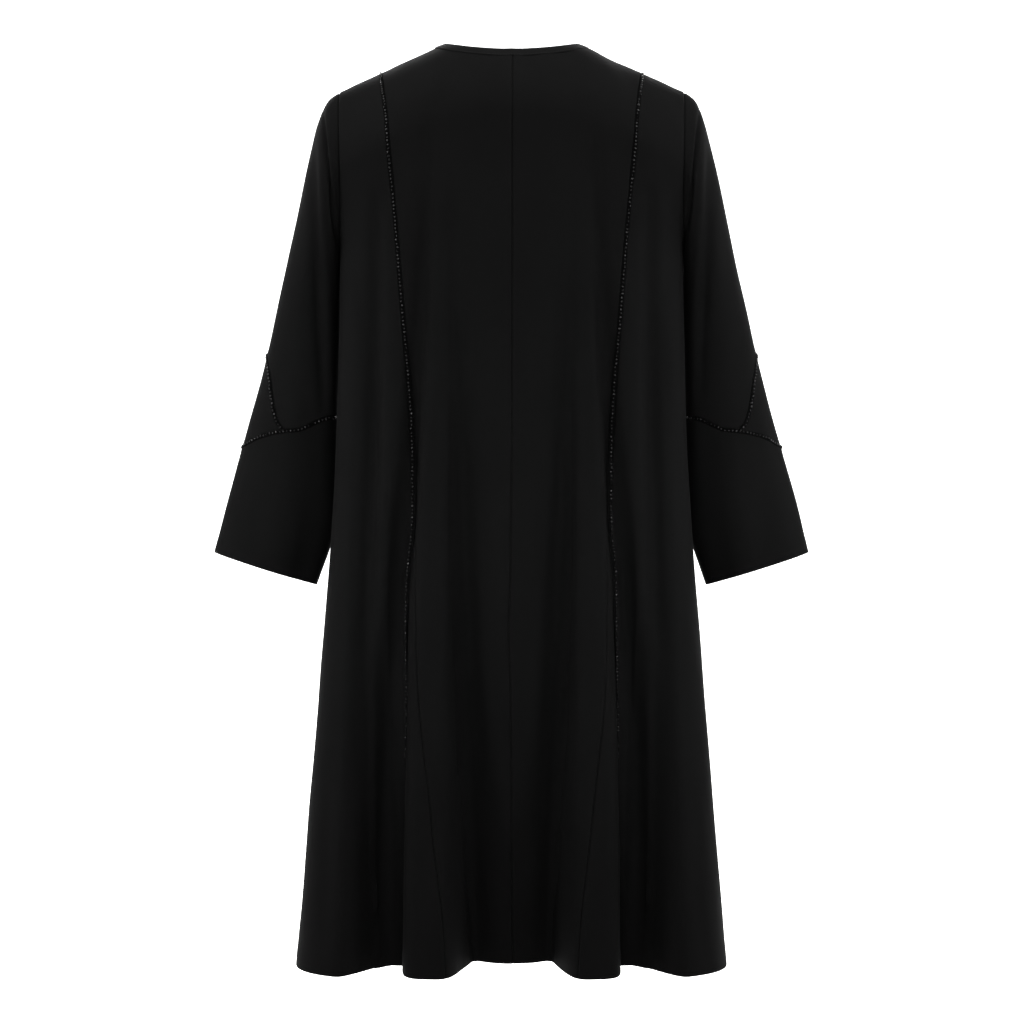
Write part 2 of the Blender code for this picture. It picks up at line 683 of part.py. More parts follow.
def band_ring(reach):
    """Points and normals along the neck, a plan distance outside its edge, on the left half.

    They run from the centre front to the centre back, with the neck point between them.
    """
    points, normals = [], []
    for front, columns in ((True, FRONT_NECK_COLUMNS), (False, NECK_COLUMNS)):
        turn = even(columns) * math.pi / 2
        depth = -NECK_FRONT_DEPTH if front else NECK_BACK_DEPTH
        x = (NECK_HALF_WIDTH + reach) * np.sin(turn)
        if front:
            x = np.maximum(x, FRONT_EDGE)
        y = SHOULDER_Y + (depth + math.copysign(reach, depth)) * np.cos(turn)
        drop = surface_drop(x, y, front)
        normal = body_normal(angle_of(x, drop, front), drop + 3 * SMALL)
        normal[-1] = shoulder_normal(x[-1:])[0]
        points.append(np.stack([x, y, -drop], -1))
        normals.append(normal)
    return [np.concatenate([half[0], half[1][::-1][1:]]) for half in (points, normals)]


def neck_band(material):
    """The strip on the outside of the neck edge, from one front edge round the back to the other."""
    edge, edge_normal = band_ring(0.0)
    trial, _ = band_ring(BAND_WIDTH)
    reach = BAND_WIDTH * BAND_WIDTH / np.linalg.norm(trial - edge, axis=-1)
    lower, lower_normal = (
        np.array([band_ring(distance)[item][k] for k, distance in enumerate(reach)]) for item in (0, 1)
    )
    points = np.stack([edge, lower])
    normals = np.stack([edge_normal, lower_normal])
    points = np.concatenate([points, mirrored(points[:, ::-1][:, 1:])], 1)
    normals = np.concatenate([normals, mirrored(normals[:, ::-1][:, 1:])], 1)
    inner = points + normals * BAND_CLEARANCE
    wall("neck_band", inner + normals * BAND_WALL, inner, False, material)


def build():
    for obj in list(bpy.data.objects):
        bpy.data.objects.remove(obj, do_unlink=True)
    crepe = cloth_material("crepe", (0.006, 0.006, 0.007), 0.85)
    band_crepe = cloth_material("neck_binding", (0.006, 0.006, 0.006), 0.8)
    centre, side, front = centre_back_grid(), side_back_grid(), front_grid()
    loop, loop_normals = armhole_loop(side, front)
    (upper, lower, wedge), shared = sleeve_grids(loop, loop_normals)
    side[1][: UPPER_ROWS + 1, -1] = shared[: UPPER_ROWS + 1]
    front[1][0, -1] = shared[0]
    front[1][1 : UPPER_ROWS + 1, -1] = shared[UPPER_ROWS:][::-1]
    panel("back_centre", *centre, crepe)
    panel("back_side", *side, crepe)
    panel("godet", *godet_grid(), crepe)
    panel("front", *front, crepe)
    panel("sleeve_upper", *upper, crepe, tube=True)
    panel("sleeve_lower", *lower, crepe, tube=True)
    panel("sleeve_wedge", *wedge_patch(wedge), crepe)
    neck_band(band_crepe)


build()
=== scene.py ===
import math

import bpy
import numpy as np
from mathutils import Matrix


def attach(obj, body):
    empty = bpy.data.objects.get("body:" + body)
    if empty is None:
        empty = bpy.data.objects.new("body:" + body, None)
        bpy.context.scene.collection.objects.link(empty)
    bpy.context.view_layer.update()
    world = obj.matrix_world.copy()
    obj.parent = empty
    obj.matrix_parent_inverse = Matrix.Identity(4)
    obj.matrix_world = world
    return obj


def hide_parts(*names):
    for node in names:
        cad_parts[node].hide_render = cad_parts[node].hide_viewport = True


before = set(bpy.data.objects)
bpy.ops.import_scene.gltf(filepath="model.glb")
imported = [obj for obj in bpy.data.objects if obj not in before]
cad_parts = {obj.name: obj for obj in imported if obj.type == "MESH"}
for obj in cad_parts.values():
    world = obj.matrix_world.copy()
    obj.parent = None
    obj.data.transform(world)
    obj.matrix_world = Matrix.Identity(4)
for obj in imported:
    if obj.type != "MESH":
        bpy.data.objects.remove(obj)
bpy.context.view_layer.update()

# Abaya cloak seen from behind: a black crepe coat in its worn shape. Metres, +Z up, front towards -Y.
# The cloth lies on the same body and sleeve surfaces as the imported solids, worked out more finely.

# Cloth
CLOTH = 0.0011  # thickness of the shell
EDGE_SETBACK = -0.00008  # negative: neighbouring panels overlap by a hair inside their seams

# Heights, as drops below the neck point
UNDERARM_DROP = 0.262
HEM_DROP = 1.1645
HEM_DIP = 0.06  # how far the hem falls for each metre that a fold stands out

# Neck and shoulders
NECK_HALF_WIDTH = 0.085
NECK_BACK_DEPTH = 0.055
NECK_FRONT_DEPTH = 0.090
SHOULDER_Y = -0.005
SHOULDER_ROUNDING = 1.6
BACK_YOKE = 0.110  # height over which the back rounds from the shoulder line to its full depth
FRONT_YOKE = 0.160
FRONT_EDGE = 0.0015  # half the slit between the two front edges at the neck
FRONT_EDGE_AT_HEM = 0.005

# Body rings are rounded boxes with this exponent: 2 is an ellipse
SQUARENESS = 2.3

# drop, half width, centre's y, depth behind the centre, depth before it
RINGS = (
    (0.000, 0.285, 0.000, 0.098, 0.112), (0.062, 0.262, 0.000, 0.098, 0.114),
    (0.112, 0.249, 0.002, 0.097, 0.117), (0.162, 0.239, 0.004, 0.097, 0.121),
    (0.212, 0.2265, 0.007, 0.098, 0.129), (0.262, 0.2185, 0.011, 0.095, 0.136),
    (0.300, 0.2183, 0.016, 0.090, 0.139), (0.360, 0.2190, 0.021, 0.083, 0.142),
    (0.460, 0.2203, 0.023, 0.079, 0.141), (0.585, 0.2264, 0.022, 0.081, 0.141),
    (0.724, 0.2362, 0.024, 0.086, 0.150), (0.850, 0.2456, 0.028, 0.089, 0.161),
    (1.000, 0.2575, 0.032, 0.093, 0.175), (1.180, 0.2716, 0.036, 0.100, 0.190),
)

# distance from the centre, drop: the shoulder line, carried on over the neck opening
SHOULDER_LINE = (
    (0.000, -0.0100), (0.040, -0.0075), (0.0815, 0.0000), (0.0917, 0.0030),
    (0.1244, 0.0187), (0.1707, 0.0392), (0.2213, 0.0622), (0.2600, 0.0800),
)

# share of the armhole's height from the underarm, distance from the centre
ARMHOLE = ((0.0, 0.2185), (0.25, 0.2172), (0.5, 0.2170), (0.75, 0.2185), (1.0, 0.2213))

# drop, distance from the centre
PRINCESS_SEAM = (
    (0.000, 0.1740), (0.036, 0.1680), (0.109, 0.1564), (0.146, 0.1536), (0.234, 0.1449),
    (0.359, 0.1350), (0.468, 0.1269), (0.570, 0.1242), (0.625, 0.1245), (0.667, 0.1300),
    (0.734, 0.1312), (0.900, 0.1300), (1.180, 0.1300),
)
GODET_SEAM = (
    (0.625, 0.1242), (0.641, 0.1225), (0.678, 0.1199), (0.730, 0.1162), (0.777, 0.1149),
    (0.843, 0.1104), (0.934, 0.1014), (1.010, 0.0938), (1.094, 0.0839), (1.180, 0.0790),
)

# Folds: each row is one crest or trough line, from the centre back round the side to the centre front.
# Its places are distances from the centre at the drops of FOLD_DROPS (None is the side itself), and its
# depths are how far the cloth stands out there, in millimetres.
FOLD_DROPS = (0.160, 0.300, 0.450, 0.600, 0.720, 0.850, 1.000, 1.180)
BACK_FOLDS = (
    ("centre crest", (0.000, 0.000, 0.000, 0.000, 0.000, 0.000, 0.000, 0.000),
     (0, 0, -1, -3, -7, -16, -35, -70)),
    ("inner trough", (0.072, 0.070, 0.067, 0.064, 0.062, 0.060, 0.054, 0.047),
     (0, -1, -4, -8, -14, -24, -40, -73)),
    ("tube crest", (0.090, 0.090, 0.092, 0.093, 0.094, 0.097, 0.0985, 0.099),
     (0, 1, 3, 5, 6, 8, 10, 12)),
    ("main trough", (0.105, 0.112, 0.122, 0.129, 0.138, 0.137, 0.137, 0.137),
     (-1, -3, -6, -11, -18, -27, -38, -50)),
    ("bead crest", (0.140, 0.143, 0.149, 0.155, 0.159, 0.158, 0.158, 0.158),
     (0, 0, 1, 0, -8, -22, -35, -48)),
    ("side trough", (0.165, 0.168, 0.174, 0.180, 0.181, 0.180, 0.177, 0.172),
     (0, -1, -4, -5, -7, -13, -21, -30)),
    ("side crest", (0.200, 0.200, 0.202, 0.203, 0.203, 0.204, 0.206, 0.208),
     (0, 0, 1, 3, 6, 10, 15, 20)),
)
SIDE_LINE = ("side", None, (0, 0, 0, 0, 0, 0, 0, 0))
FRONT_FOLDS = (
    ("front side trough", (0.200, 0.195, 0.190, 0.190, 0.192, 0.195, 0.198, 0.200),
     (0, 0, -3, -6, -10, -15, -21, -30)),
    ("front side crest", (0.165, 0.160, 0.155, 0.152, 0.152, 0.153, 0.155, 0.157),
     (0, 0, 2, 4, 5, 6, 8, 10)),
    ("front trough", (0.120, 0.115, 0.110, 0.108, 0.107, 0.107, 0.108, 0.110),
     (0, -1, -4, -8, -13, -19, -27, -38)),
    ("front crest", (0.075, 0.075, 0.072, 0.070, 0.068, 0.067, 0.066, 0.065),
     (0, 0, 1, 2, 3, 4, 5, 6)),
    ("front edge", (0.000, 0.000, 0.000, 0.000, 0.000, 0.000, 0.000, 0.000),
     (0, 0, -1, -3, -6, -10, -15, -22)),
)
TUBE_SHARPNESS = 2.2
TUBE_INNER_SHARPNESS = 2.0
TUBE_LEAN_MM = (0, 0, 0, 0, 1, 4, 8, 11)  # how far the tube's outer wall leans over the main trough
LEAN_PEAK = 27 / 4  # makes the lean's curve, share * share * (1 - share), one high

# Sleeve stations from armhole to cuff: outer edge's x and drop, inner edge's x and drop, centre's y,
# half depth, share of the armhole's own outline
SLEEVE = (
    (0.2213, 0.0622, 0.2185, 0.2620, 0.002, 0.056, 1.00),
    (0.2326, 0.0700, 0.2190, 0.2690, 0.000, 0.056, 0.75),
    (0.2396, 0.0805, 0.2194, 0.2780, -0.002, 0.056, 0.50),
    (0.2458, 0.0960, 0.2196, 0.2900, -0.005, 0.056, 0.25),
    (0.2534, 0.1212, 0.2197, 0.3060, -0.009, 0.056, 0.08),
    (0.2682, 0.1843, 0.2198, 0.3370, -0.015, 0.055, 0.00),
    (0.2857, 0.2611, 0.2200, 0.3900, -0.022, 0.053, 0.00),
    (0.3031, 0.3382, 0.2203, 0.4500, -0.029, 0.051, 0.00),
    (0.3220, 0.4158, 0.2215, 0.5100, -0.035, 0.049, 0.00),
    (0.3434, 0.4935, 0.2245, 0.5680, -0.040, 0.047, 0.00),
    (0.3657, 0.5714, 0.2300, 0.6260, -0.043, 0.045, 0.00),
    (0.3866, 0.6518, 0.2532, 0.6943, -0.045, 0.043, 0.00),
)
# station, angle from the outer edge in degrees, depth in millimetres: the long trough beside the body
SLEEVE_TROUGH = ((0, 100, 0.0), (3, 102, 0.0), (5, 105, 2.5), (7, 110, 4.0), (9, 122, 4.5), (11, 138, 5.0))
SLEEVE_TROUGH_REACH = 40  # degrees to either side
# angle round the sleeve from its outer edge in degrees, drop: the same on the back and the front
WEDGE_SEAM = ((0, 0.395), (23, 0.407), (40, 0.429), (52, 0.455), (60, 0.472), (70, 0.489), (82, 0.4962))
ELBOW_SEAM = (
    (0, 0.517), (31, 0.510), (49, 0.503), (65, 0.499), (82, 0.4962), (95, 0.495),
    (105, 0.491), (114, 0.487), (126, 0.482), (142, 0.479), (180, 0.477),
)

# Mesh divisions
UPPER_ROWS = 44
GODET_ROW = 38  # the row below the underarm at which the godet starts
GODET_SHARE = 0.4045  # where that row stands on the way from the underarm to the hem
GODET_LENGTH_ROWS = 56
LOWER_SHARES = (
    *np.linspace(0.0, GODET_SHARE, GODET_ROW + 1),
    *np.linspace(GODET_SHARE, 1.0, GODET_LENGTH_ROWS + 1)[1:],
)
GODET_TIP = 0.5  # share of its first row's length that the godet's tip keeps
NECK_COLUMNS = 20
SHOULDER_COLUMNS = 16
SIDE_COLUMNS = 52
GODET_COLUMNS = 22
FRONT_FOLD_COLUMNS = 12
FRONT_NECK_COLUMNS = 30
FRONT_SHOULDER_COLUMNS = 30
SLEEVE_UPPER_SHARES = tuple(np.linspace(0.0, 1.0, 61))
SLEEVE_LOWER_ROWS = 26
WEDGE_ROWS = 14
WEDGE_SIDE_COLUMNS = 19
WEDGE_TIP = 0.6  # share of its end columns' width that the wedge's tips keep

SMALL = 1e-4  # metres, or stations of the sleeve
RING_STEP = 0.01  # radians either way, for the direction along a plain ring
NORMAL_STEP = 0.004  # radians either way, for the direction square to the folded surface
STATION_STEP = 0.05  # stations either way, for the direction along a sleeve
FIRST_GUESS = 0.02  # drop below the shoulder line from which a place on the shoulders is sought
ROUNDS = 8  # of closing in on a place that depends on itself
SEAM_SAMPLES = 400
CREASE_ANGLE = 50  # degrees above which an edge shades sharp


def smooth(places, values, at):
    """A smooth curve through a table's values, held level past its ends."""
    places = np.asarray(places, float)
    values = np.asarray(values, float)
    at = np.clip(at, places[0], places[-1])
    slopes = np.gradient(values, places)
    i = np.clip(np.searchsorted(places, at, side="right") - 1, 0, len(places) - 2)
    step = places[i + 1] - places[i]
    t = (at - places[i]) / step
    rise = t * t * (3 - 2 * t)
    start = t * (1 - t) * (1 - t) * step * slopes[i]
    end = t * t * (t - 1) * step * slopes[i + 1]
    return values[i] + (values[i + 1] - values[i]) * rise + start + end


def column(table, number):
    return [row[number] for row in table]


def follow(table, at, number=1):
    """A smooth curve through a column of a table, against the table's first column."""
    return smooth(column(table, 0), column(table, number), at)


def unit(vectors):
    return vectors / np.linalg.norm(vectors, axis=-1, keepdims=True)


def ring(drop):
    """Half width, centre's y, back depth and front depth of the body's ring at a drop."""
    return [follow(RINGS, drop, number) for number in (1, 2, 3, 4)]


def shoulder_drop(x):
    return follow(SHOULDER_LINE, np.abs(x))


def angle_of(x, drop, front):
    """The ring angle of a point x from the centre: 0 is the centre back, a right angle the side."""
    share = np.clip(x / ring(drop)[0], 0.0, 1.0)
    angle = np.arcsin(share ** (SQUARENESS / 2))
    return math.pi - angle if front else angle


def fold_lines(drop):
    """Ring angle and depth of every fold line at a drop, in order round the body."""
    lines = []
    for front, rows in ((False, BACK_FOLDS + (SIDE_LINE,)), (True, FRONT_FOLDS)):
        for _, places, depths in rows:
            if places is None:
                angle = np.full_like(drop, math.pi / 2)
            else:
                angle = angle_of(smooth(FOLD_DROPS, places, drop), drop, front)
            lines.append((angle, smooth(FOLD_DROPS, depths, drop) / 1000))
    return lines


def folds(angle, drop):
    """How far the folds stand out at a ring angle, and how far they lean round the ring."""
    angle = np.arccos(np.clip(np.cos(angle), -1.0, 1.0))
    lines = fold_lines(drop)
    out = np.zeros_like(angle)
    lean = np.zeros_like(angle)
    for number, ((start, high), (end, low)) in enumerate(zip(lines, lines[1:])):
        share = (angle - start) / (end - start)
        inside = (share >= 0) & (share <= 1)
        share = np.clip(share, 0, 1)
        name = BACK_FOLDS[number][0] if number < len(BACK_FOLDS) else ""
        if name == "inner trough":
            share = 1 - (1 - share) ** TUBE_INNER_SHARPNESS
        if name == "tube crest":
            bump = LEAN_PEAK * share**2 * (1 - share)
            lean = np.where(inside, smooth(FOLD_DROPS, TUBE_LEAN_MM, drop) / 1000 * bump, lean)
            share = share**TUBE_SHARPNESS
        rise = share * share * (3 - 2 * share)
        out = np.where(inside, high + (low - high) * rise, out)
    return out, lean


def plain_ring_point(angle, drop):
    """x and y on the body's ring before its folds and before the shoulders round it in."""
    half_width, centre, back, front = ring(drop)
    sine, cosine = np.sin(angle), np.cos(angle)
    x = half_width * np.sign(sine) * np.abs(sine) ** (2 / SQUARENESS)
    depth = np.where(cosine > 0, back, front)
    return x, centre + depth * np.sign(cosine) * np.abs(cosine) ** (2 / SQUARENESS)


def body_point(angle, drop):
    """A point of the body's outer surface."""
    x, y = plain_ring_point(angle, drop)
    ahead = plain_ring_point(angle + RING_STEP, drop)
    behind = plain_ring_point(angle - RING_STEP, drop)
    along = unit(np.stack([ahead[0] - behind[0], ahead[1] - behind[1]], -1))
    out, lean = folds(angle, drop)
    side = np.where(np.sin(angle) < 0, -1.0, 1.0)
    x = x - along[..., 1] * out + along[..., 0] * lean * side
    y = y + along[..., 0] * out + along[..., 1] * lean * side
    yoke = np.where(np.cos(angle) > 0, BACK_YOKE, FRONT_YOKE)
    below = np.clip((drop - shoulder_drop(x)) / yoke, 0.0, 1.0)
    fullness = (1 - (1 - below) ** SHOULDER_ROUNDING) ** (1 / SHOULDER_ROUNDING)
    return np.stack([x, SHOULDER_Y + (y - SHOULDER_Y) * fullness, -drop], -1)


def body_normal(angle, drop):
    """The outward direction of the body's surface, from small steps round it and down it."""
    around = body_point(angle + NORMAL_STEP, drop) - body_point(angle - NORMAL_STEP, drop)
    down = body_point(angle, drop + SMALL) - body_point(angle, drop - SMALL)
    return unit(np.cross(around, down))


def shoulder_normal(x):
    slope = (shoulder_drop(x + SMALL) - shoulder_drop(x - SMALL)) / (2 * SMALL)
    return unit(np.stack([slope, np.zeros_like(x), np.ones_like(x)], -1))


def surface_drop(x, y, front):
    """The drop at which the body's surface passes a place on plan, for the top of the shoulders."""
    shoulder = shoulder_drop(x)
    drop = shoulder + FIRST_GUESS
    for _ in range(ROUNDS):
        fullness = np.clip((y - SHOULDER_Y) / (body_full_y(x, drop, front) - SHOULDER_Y), 0.0, 1.0)
        below = 1 - (1 - fullness**SHOULDER_ROUNDING) ** (1 / SHOULDER_ROUNDING)
        drop = shoulder + (FRONT_YOKE if front else BACK_YOKE) * below
    return drop


def top_drop(x, front):
    """The drop of a panel's top edge: the neck edge near the centre, and the shoulder line past it."""
    x = np.asarray(x, float)
    depth = -NECK_FRONT_DEPTH if front else NECK_BACK_DEPTH
    neck_y = SHOULDER_Y + depth * np.sqrt(np.clip(1 - (x / NECK_HALF_WIDTH) ** 2, 0.0, 1.0))
    return surface_drop(x, neck_y, front)


def body_full_y(x, drop, front):
    return plain_ring_point(angle_of(x, drop, front), drop)[1]


def upper_drop(x, share, front):
    """The drop of a row that stands share of the way from the underarm to the top edge."""
    return UNDERARM_DROP + (top_drop(x, front) - UNDERARM_DROP) * share


def hem_drop(angle):
    out, _ = folds(angle, np.full_like(angle, HEM_DROP))
    deepest = min(row[2][-1] for row in BACK_FOLDS) / 1000
    return HEM_DROP + HEM_DIP * (out - deepest)


def lower_row(angles, share):
    drops = UNDERARM_DROP + (hem_drop(angles) - UNDERARM_DROP) * share
    return angles, drops


def level(share):
    """The drop that is share of the way from the underarm to the plain hem."""
    return UNDERARM_DROP + (HEM_DROP - UNDERARM_DROP) * share


def princess_x(drop):
    return follow(PRINCESS_SEAM, drop)


def godet_x(drop):
    return follow(GODET_SEAM, drop)


def upper_princess_x(share):
    """The princess seam's distance from the centre on a row above the underarm."""
    x = princess_x(UNDERARM_DROP)
    for _ in range(ROUNDS):
        x = princess_x(upper_drop(x, share, False))
    return x


def armhole_x(share):
    return follow(ARMHOLE, share)


def even(count):
    return np.linspace(0.0, 1.0, count + 1)


# Shares of the armhole's height at which the rows above the underarm stand
UPPER_SHARES = (1 - np.cos(math.pi * even(UPPER_ROWS))) / 2


def rows_of(row_places):
    """Points and normals of a grid from its rows of ring angles and drops."""
    angles = np.array([row[0] for row in row_places])
    drops = np.array([row[1] for row in row_places])
    safe = np.where(np.abs(drops - shoulder_drop_at(angles, drops)) < 2 * SMALL, drops + 2 * SMALL, drops)
    normals = body_normal(angles, safe)
    return body_point(angles, drops), normals


def shoulder_drop_at(angles, drops):
    return shoulder_drop(plain_ring_point(angles, drops)[0])


def upper_rows(inner_x, outer_x, low_places, top_places, front):
    """Rows from the top edge down to the underarm, as ring angles and drops.

    The places of the columns, 0 at the inner seam and 1 at the outer one, change evenly from
    low_places at the underarm to top_places at the top edge.
    """
    rows = []
    for share in UPPER_SHARES[::-1]:
        places = low_places + (top_places - low_places) * share
        x = inner_x(share) + (outer_x(share) - inner_x(share)) * places
        drops = upper_drop(x, share, front)
        rows.append((angle_of(x, drops, front), drops))
    return rows


def with_shoulder(points, normals, first_column):
    """The top row's normals along the shoulder seam, which the back and the front share."""
    normals[0, first_column:] = shoulder_normal(points[0, first_column:, 0])
    return points, normals


def edge_places(neck_share, neck_columns, shoulder_columns):
    """Places of the columns along a top edge, closer together where the neck edge turns steep."""
    neck = neck_share * np.sin(even(neck_columns) * math.pi / 2)
    shoulder = neck_share + (1 - neck_share) * even(shoulder_columns)[1:]
    return np.concatenate([neck, shoulder])


def underarm_places(angles):
    """Places across a panel of the columns that pass the underarm at these ring angles."""
    x = plain_ring_point(angles, np.full_like(angles, UNDERARM_DROP))[0]
    return (x - x[0]) / (x[-1] - x[0])


def centre_back_grid():
    neck_share = NECK_HALF_WIDTH / upper_princess_x(1.0)
    top_places = edge_places(neck_share, NECK_COLUMNS, SHOULDER_COLUMNS)
    places = even(NECK_COLUMNS + SHOULDER_COLUMNS)
    rows = upper_rows(lambda share: 0.0, upper_princess_x, places, top_places, False)
    for number, share in enumerate(LOWER_SHARES[1:], 1):
        seam = princess_x if number <= GODET_ROW else godet_x
        drop = level(share)
        rows.append(lower_row(angle_of(seam(drop) * places, drop, False), share))
    return with_shoulder(*rows_of(rows), NECK_COLUMNS)


def godet_grid():
    rows = []
    for share in LOWER_SHARES[GODET_ROW:]:
        drop = level(share)
        inner = princess_x(drop) if share == LOWER_SHARES[GODET_ROW] else godet_x(drop)
        x = inner + (princess_x(drop) - inner) * even(GODET_COLUMNS)
        rows.append(lower_row(angle_of(x, drop, False), share))
    points, normals = rows_of(rows)
    points[0] = points[1] + (points[0] - points[1]) * GODET_TIP
    normals[0] = unit(normals[1] + (normals[0] - normals[1]) * GODET_TIP)
    return points, normals


def side_back_grid():
    underarm_angles = angle_of(princess_x(UNDERARM_DROP), UNDERARM_DROP, False)
    angles = underarm_angles + (math.pi / 2 - underarm_angles) * even(SIDE_COLUMNS)
    rows = upper_rows(upper_princess_x, armhole_x, underarm_places(angles), even(SIDE_COLUMNS), False)
    for share in LOWER_SHARES[1:]:
        drop = level(share)
        start = angle_of(princess_x(drop), drop, False)
        rows.append(lower_row(start + (math.pi / 2 - start) * even(SIDE_COLUMNS), share))
    return with_shoulder(*rows_of(rows), 0)


def front_angles(drop):
    """Ring angles of the front's columns, which follow its fold lines from the edge to the side."""
    share = (drop - UNDERARM_DROP) / (HEM_DROP - UNDERARM_DROP)
    edge = angle_of(FRONT_EDGE + (FRONT_EDGE_AT_HEM - FRONT_EDGE) * share, drop, True)
    lines = [line[0] for line in fold_lines(drop)[len(BACK_FOLDS) : -1]]
    knots = [edge] + lines[::-1]
    spans = len(knots) - 1
    return np.interp(spans * even(spans * FRONT_FOLD_COLUMNS), range(spans + 1), knots)


def front_grid():
    """The front panel, with its first column at the front edge and its last at the side."""
    top_x = armhole_x(1.0)
    neck_share = (NECK_HALF_WIDTH - FRONT_EDGE) / (top_x - FRONT_EDGE)
    top_places = edge_places(neck_share, FRONT_NECK_COLUMNS, FRONT_SHOULDER_COLUMNS)
    low_places = underarm_places(front_angles(np.float64(UNDERARM_DROP)))
    rows = upper_rows(lambda share: FRONT_EDGE, armhole_x, low_places, top_places, True)
    for share in LOWER_SHARES[1:]:
        drop = np.float64(level(share))
        rows.append(lower_row(front_angles(drop), share))
    return with_shoulder(*rows_of(rows), FRONT_NECK_COLUMNS)


def armhole_loop(back, front):
    """The armhole's points and normals, from the shoulder tip down the back and up the front."""
    loops = []
    for number in (0, 1):
        down = back[number][: UPPER_ROWS + 1, -1]
        up = front[number][1:UPPER_ROWS, -1][::-1]
        loops.append(np.concatenate([down, up]))
    return loops


SLEEVE_COLUMNS = 2 * UPPER_ROWS
SLEEVE_ANGLES = 2 * math.pi * np.arange(SLEEVE_COLUMNS) / SLEEVE_COLUMNS
WEDGE_COLUMNS = np.arange(-WEDGE_SIDE_COLUMNS, WEDGE_SIDE_COLUMNS + 1)


def sleeve_trough(stations):
    """How deep the sleeve's long trough is on each column, the same on the back and the front."""
    middle = follow(SLEEVE_TROUGH, stations)
    deepest = follow(SLEEVE_TROUGH, stations, 2) / 1000
    degrees = np.degrees(np.arccos(np.cos(SLEEVE_ANGLES)))
    share = np.clip(np.abs(degrees - middle) / SLEEVE_TROUGH_REACH, 0.0, 1.0)
    return deepest * (1 + np.cos(math.pi * share)) / 2


def sleeve_points(stations, loop):
    """Sleeve points for a station number on each column, from the outer edge by way of the back."""
    numbers = range(len(SLEEVE))
    outer_x, outer_drop, inner_x, inner_drop, centre, depth, loop_share = (
        smooth(numbers, column(SLEEVE, item), stations) for item in range(7)
    )
    squeeze = 1 - sleeve_trough(stations) / depth
    across = (1 + np.cos(SLEEVE_ANGLES) * squeeze) / 2
    x = inner_x + (outer_x - inner_x) * across
    drop = inner_drop + (outer_drop - inner_drop) * across
    y = centre + depth * np.sin(SLEEVE_ANGLES) * squeeze
    made = np.stack([x, y, -drop], -1)
    own = np.stack([x, y + loop_places(loop), -drop], -1)
    share = np.clip(loop_share, 0.0, 1.0)[..., None]
    blended = made + (own - made) * share
    at_armhole = (np.asarray(stations) < SMALL)[..., None]
    return np.where(at_armhole, loop, blended)


def loop_places(loop):
    """How much further out in y the armhole lies than the first station's plain ring, column by column."""
    plain = SLEEVE[0][4] + SLEEVE[0][5] * np.sin(SLEEVE_ANGLES)
    return loop[:, 1] - plain


def station_at_drop(table, loop):
    """The station on each column where the sleeve reaches the drop that a seam table gives."""
    degrees = np.degrees(np.arccos(np.cos(SLEEVE_ANGLES)))
    wanted = follow(table, degrees)
    fine = np.linspace(1.0, len(SLEEVE) - 1.0, SEAM_SAMPLES)
    drops = np.array([-sleeve_points(np.full(SLEEVE_COLUMNS, s), loop)[:, 2] for s in fine])
    return np.array([np.interp(wanted[k], drops[:, k], fine) for k in range(SLEEVE_COLUMNS)])


def sleeve_grids(loop, loop_normals):
    """Points and normals of the upper sleeve, the lower sleeve and the wedge, and the armhole's normals."""
    elbow = station_at_drop(ELBOW_SEAM, loop)
    wedge = station_at_drop(WEDGE_SEAM, loop)
    far = np.minimum(np.arange(SLEEVE_COLUMNS), SLEEVE_COLUMNS - np.arange(SLEEVE_COLUMNS))
    upper_end = np.where(far < WEDGE_SIDE_COLUMNS, wedge, elbow)
    last = len(SLEEVE) - 1
    upper_stations = [upper_end * share for share in SLEEVE_UPPER_SHARES]
    lower_stations = [elbow + (last - elbow) * share for share in even(SLEEVE_LOWER_ROWS)]
    wedge_stations = [upper_end + (elbow - upper_end) * share for share in even(WEDGE_ROWS)]
    grids = []
    for stations in (upper_stations, lower_stations, wedge_stations):
        points = np.array([sleeve_points(row, loop) for row in stations])
        normals = np.array([sleeve_normals(row, loop) for row in stations])
        grids.append([points, normals])
    shared = unit(loop_normals + grids[0][1][0])
    grids[0][1][0] = shared
    return grids, shared


def sleeve_normals(stations, loop):
    """Outward directions on the sleeve at a station number on each column."""
    last = len(SLEEVE) - 1
    before = sleeve_points(np.clip(stations - STATION_STEP, 0.0, last), loop)
    after = sleeve_points(np.clip(stations + STATION_STEP, 0.0, last), loop)
    here = sleeve_points(stations, loop)
    around = np.roll(here, -1, 0) - np.roll(here, 1, 0)
    return unit(np.cross(after - before, around))


def wedge_patch(grid):
    """The wedge's columns, from its tip on the front round the outer edge to its tip on the back."""
    made = []
    for values in grid:
        patch = values[:, WEDGE_COLUMNS]
        patch[:, 0] = patch[:, 1] + (patch[:, 0] - patch[:, 1]) * WEDGE_TIP
        patch[:, -1] = patch[:, -2] + (patch[:, -1] - patch[:, -2]) * WEDGE_TIP
        made.append(patch)
    return made[0], unit(made[1])


def set_back(points, normals, tube):
    """Moves each cut edge off its seam line by the setback, square to the seam and within the cloth."""
    moved = points.copy()
    edges = [(np.s_[0], np.s_[1]), (np.s_[-1], np.s_[-2])]
    if not tube:
        edges += [(np.s_[:, 0], np.s_[:, 1]), (np.s_[:, -1], np.s_[:, -2])]
    for edge, inside in edges:
        line = points[edge]
        if tube:
            along = np.roll(line, -1, 0) - np.roll(line, 1, 0)
        else:
            along = np.gradient(line, axis=0)
        square = unit(np.cross(along, normals[edge]))
        inward = np.sum(square * (points[inside] - line))
        moved[edge] += square * EDGE_SETBACK * np.sign(inward)
    return moved


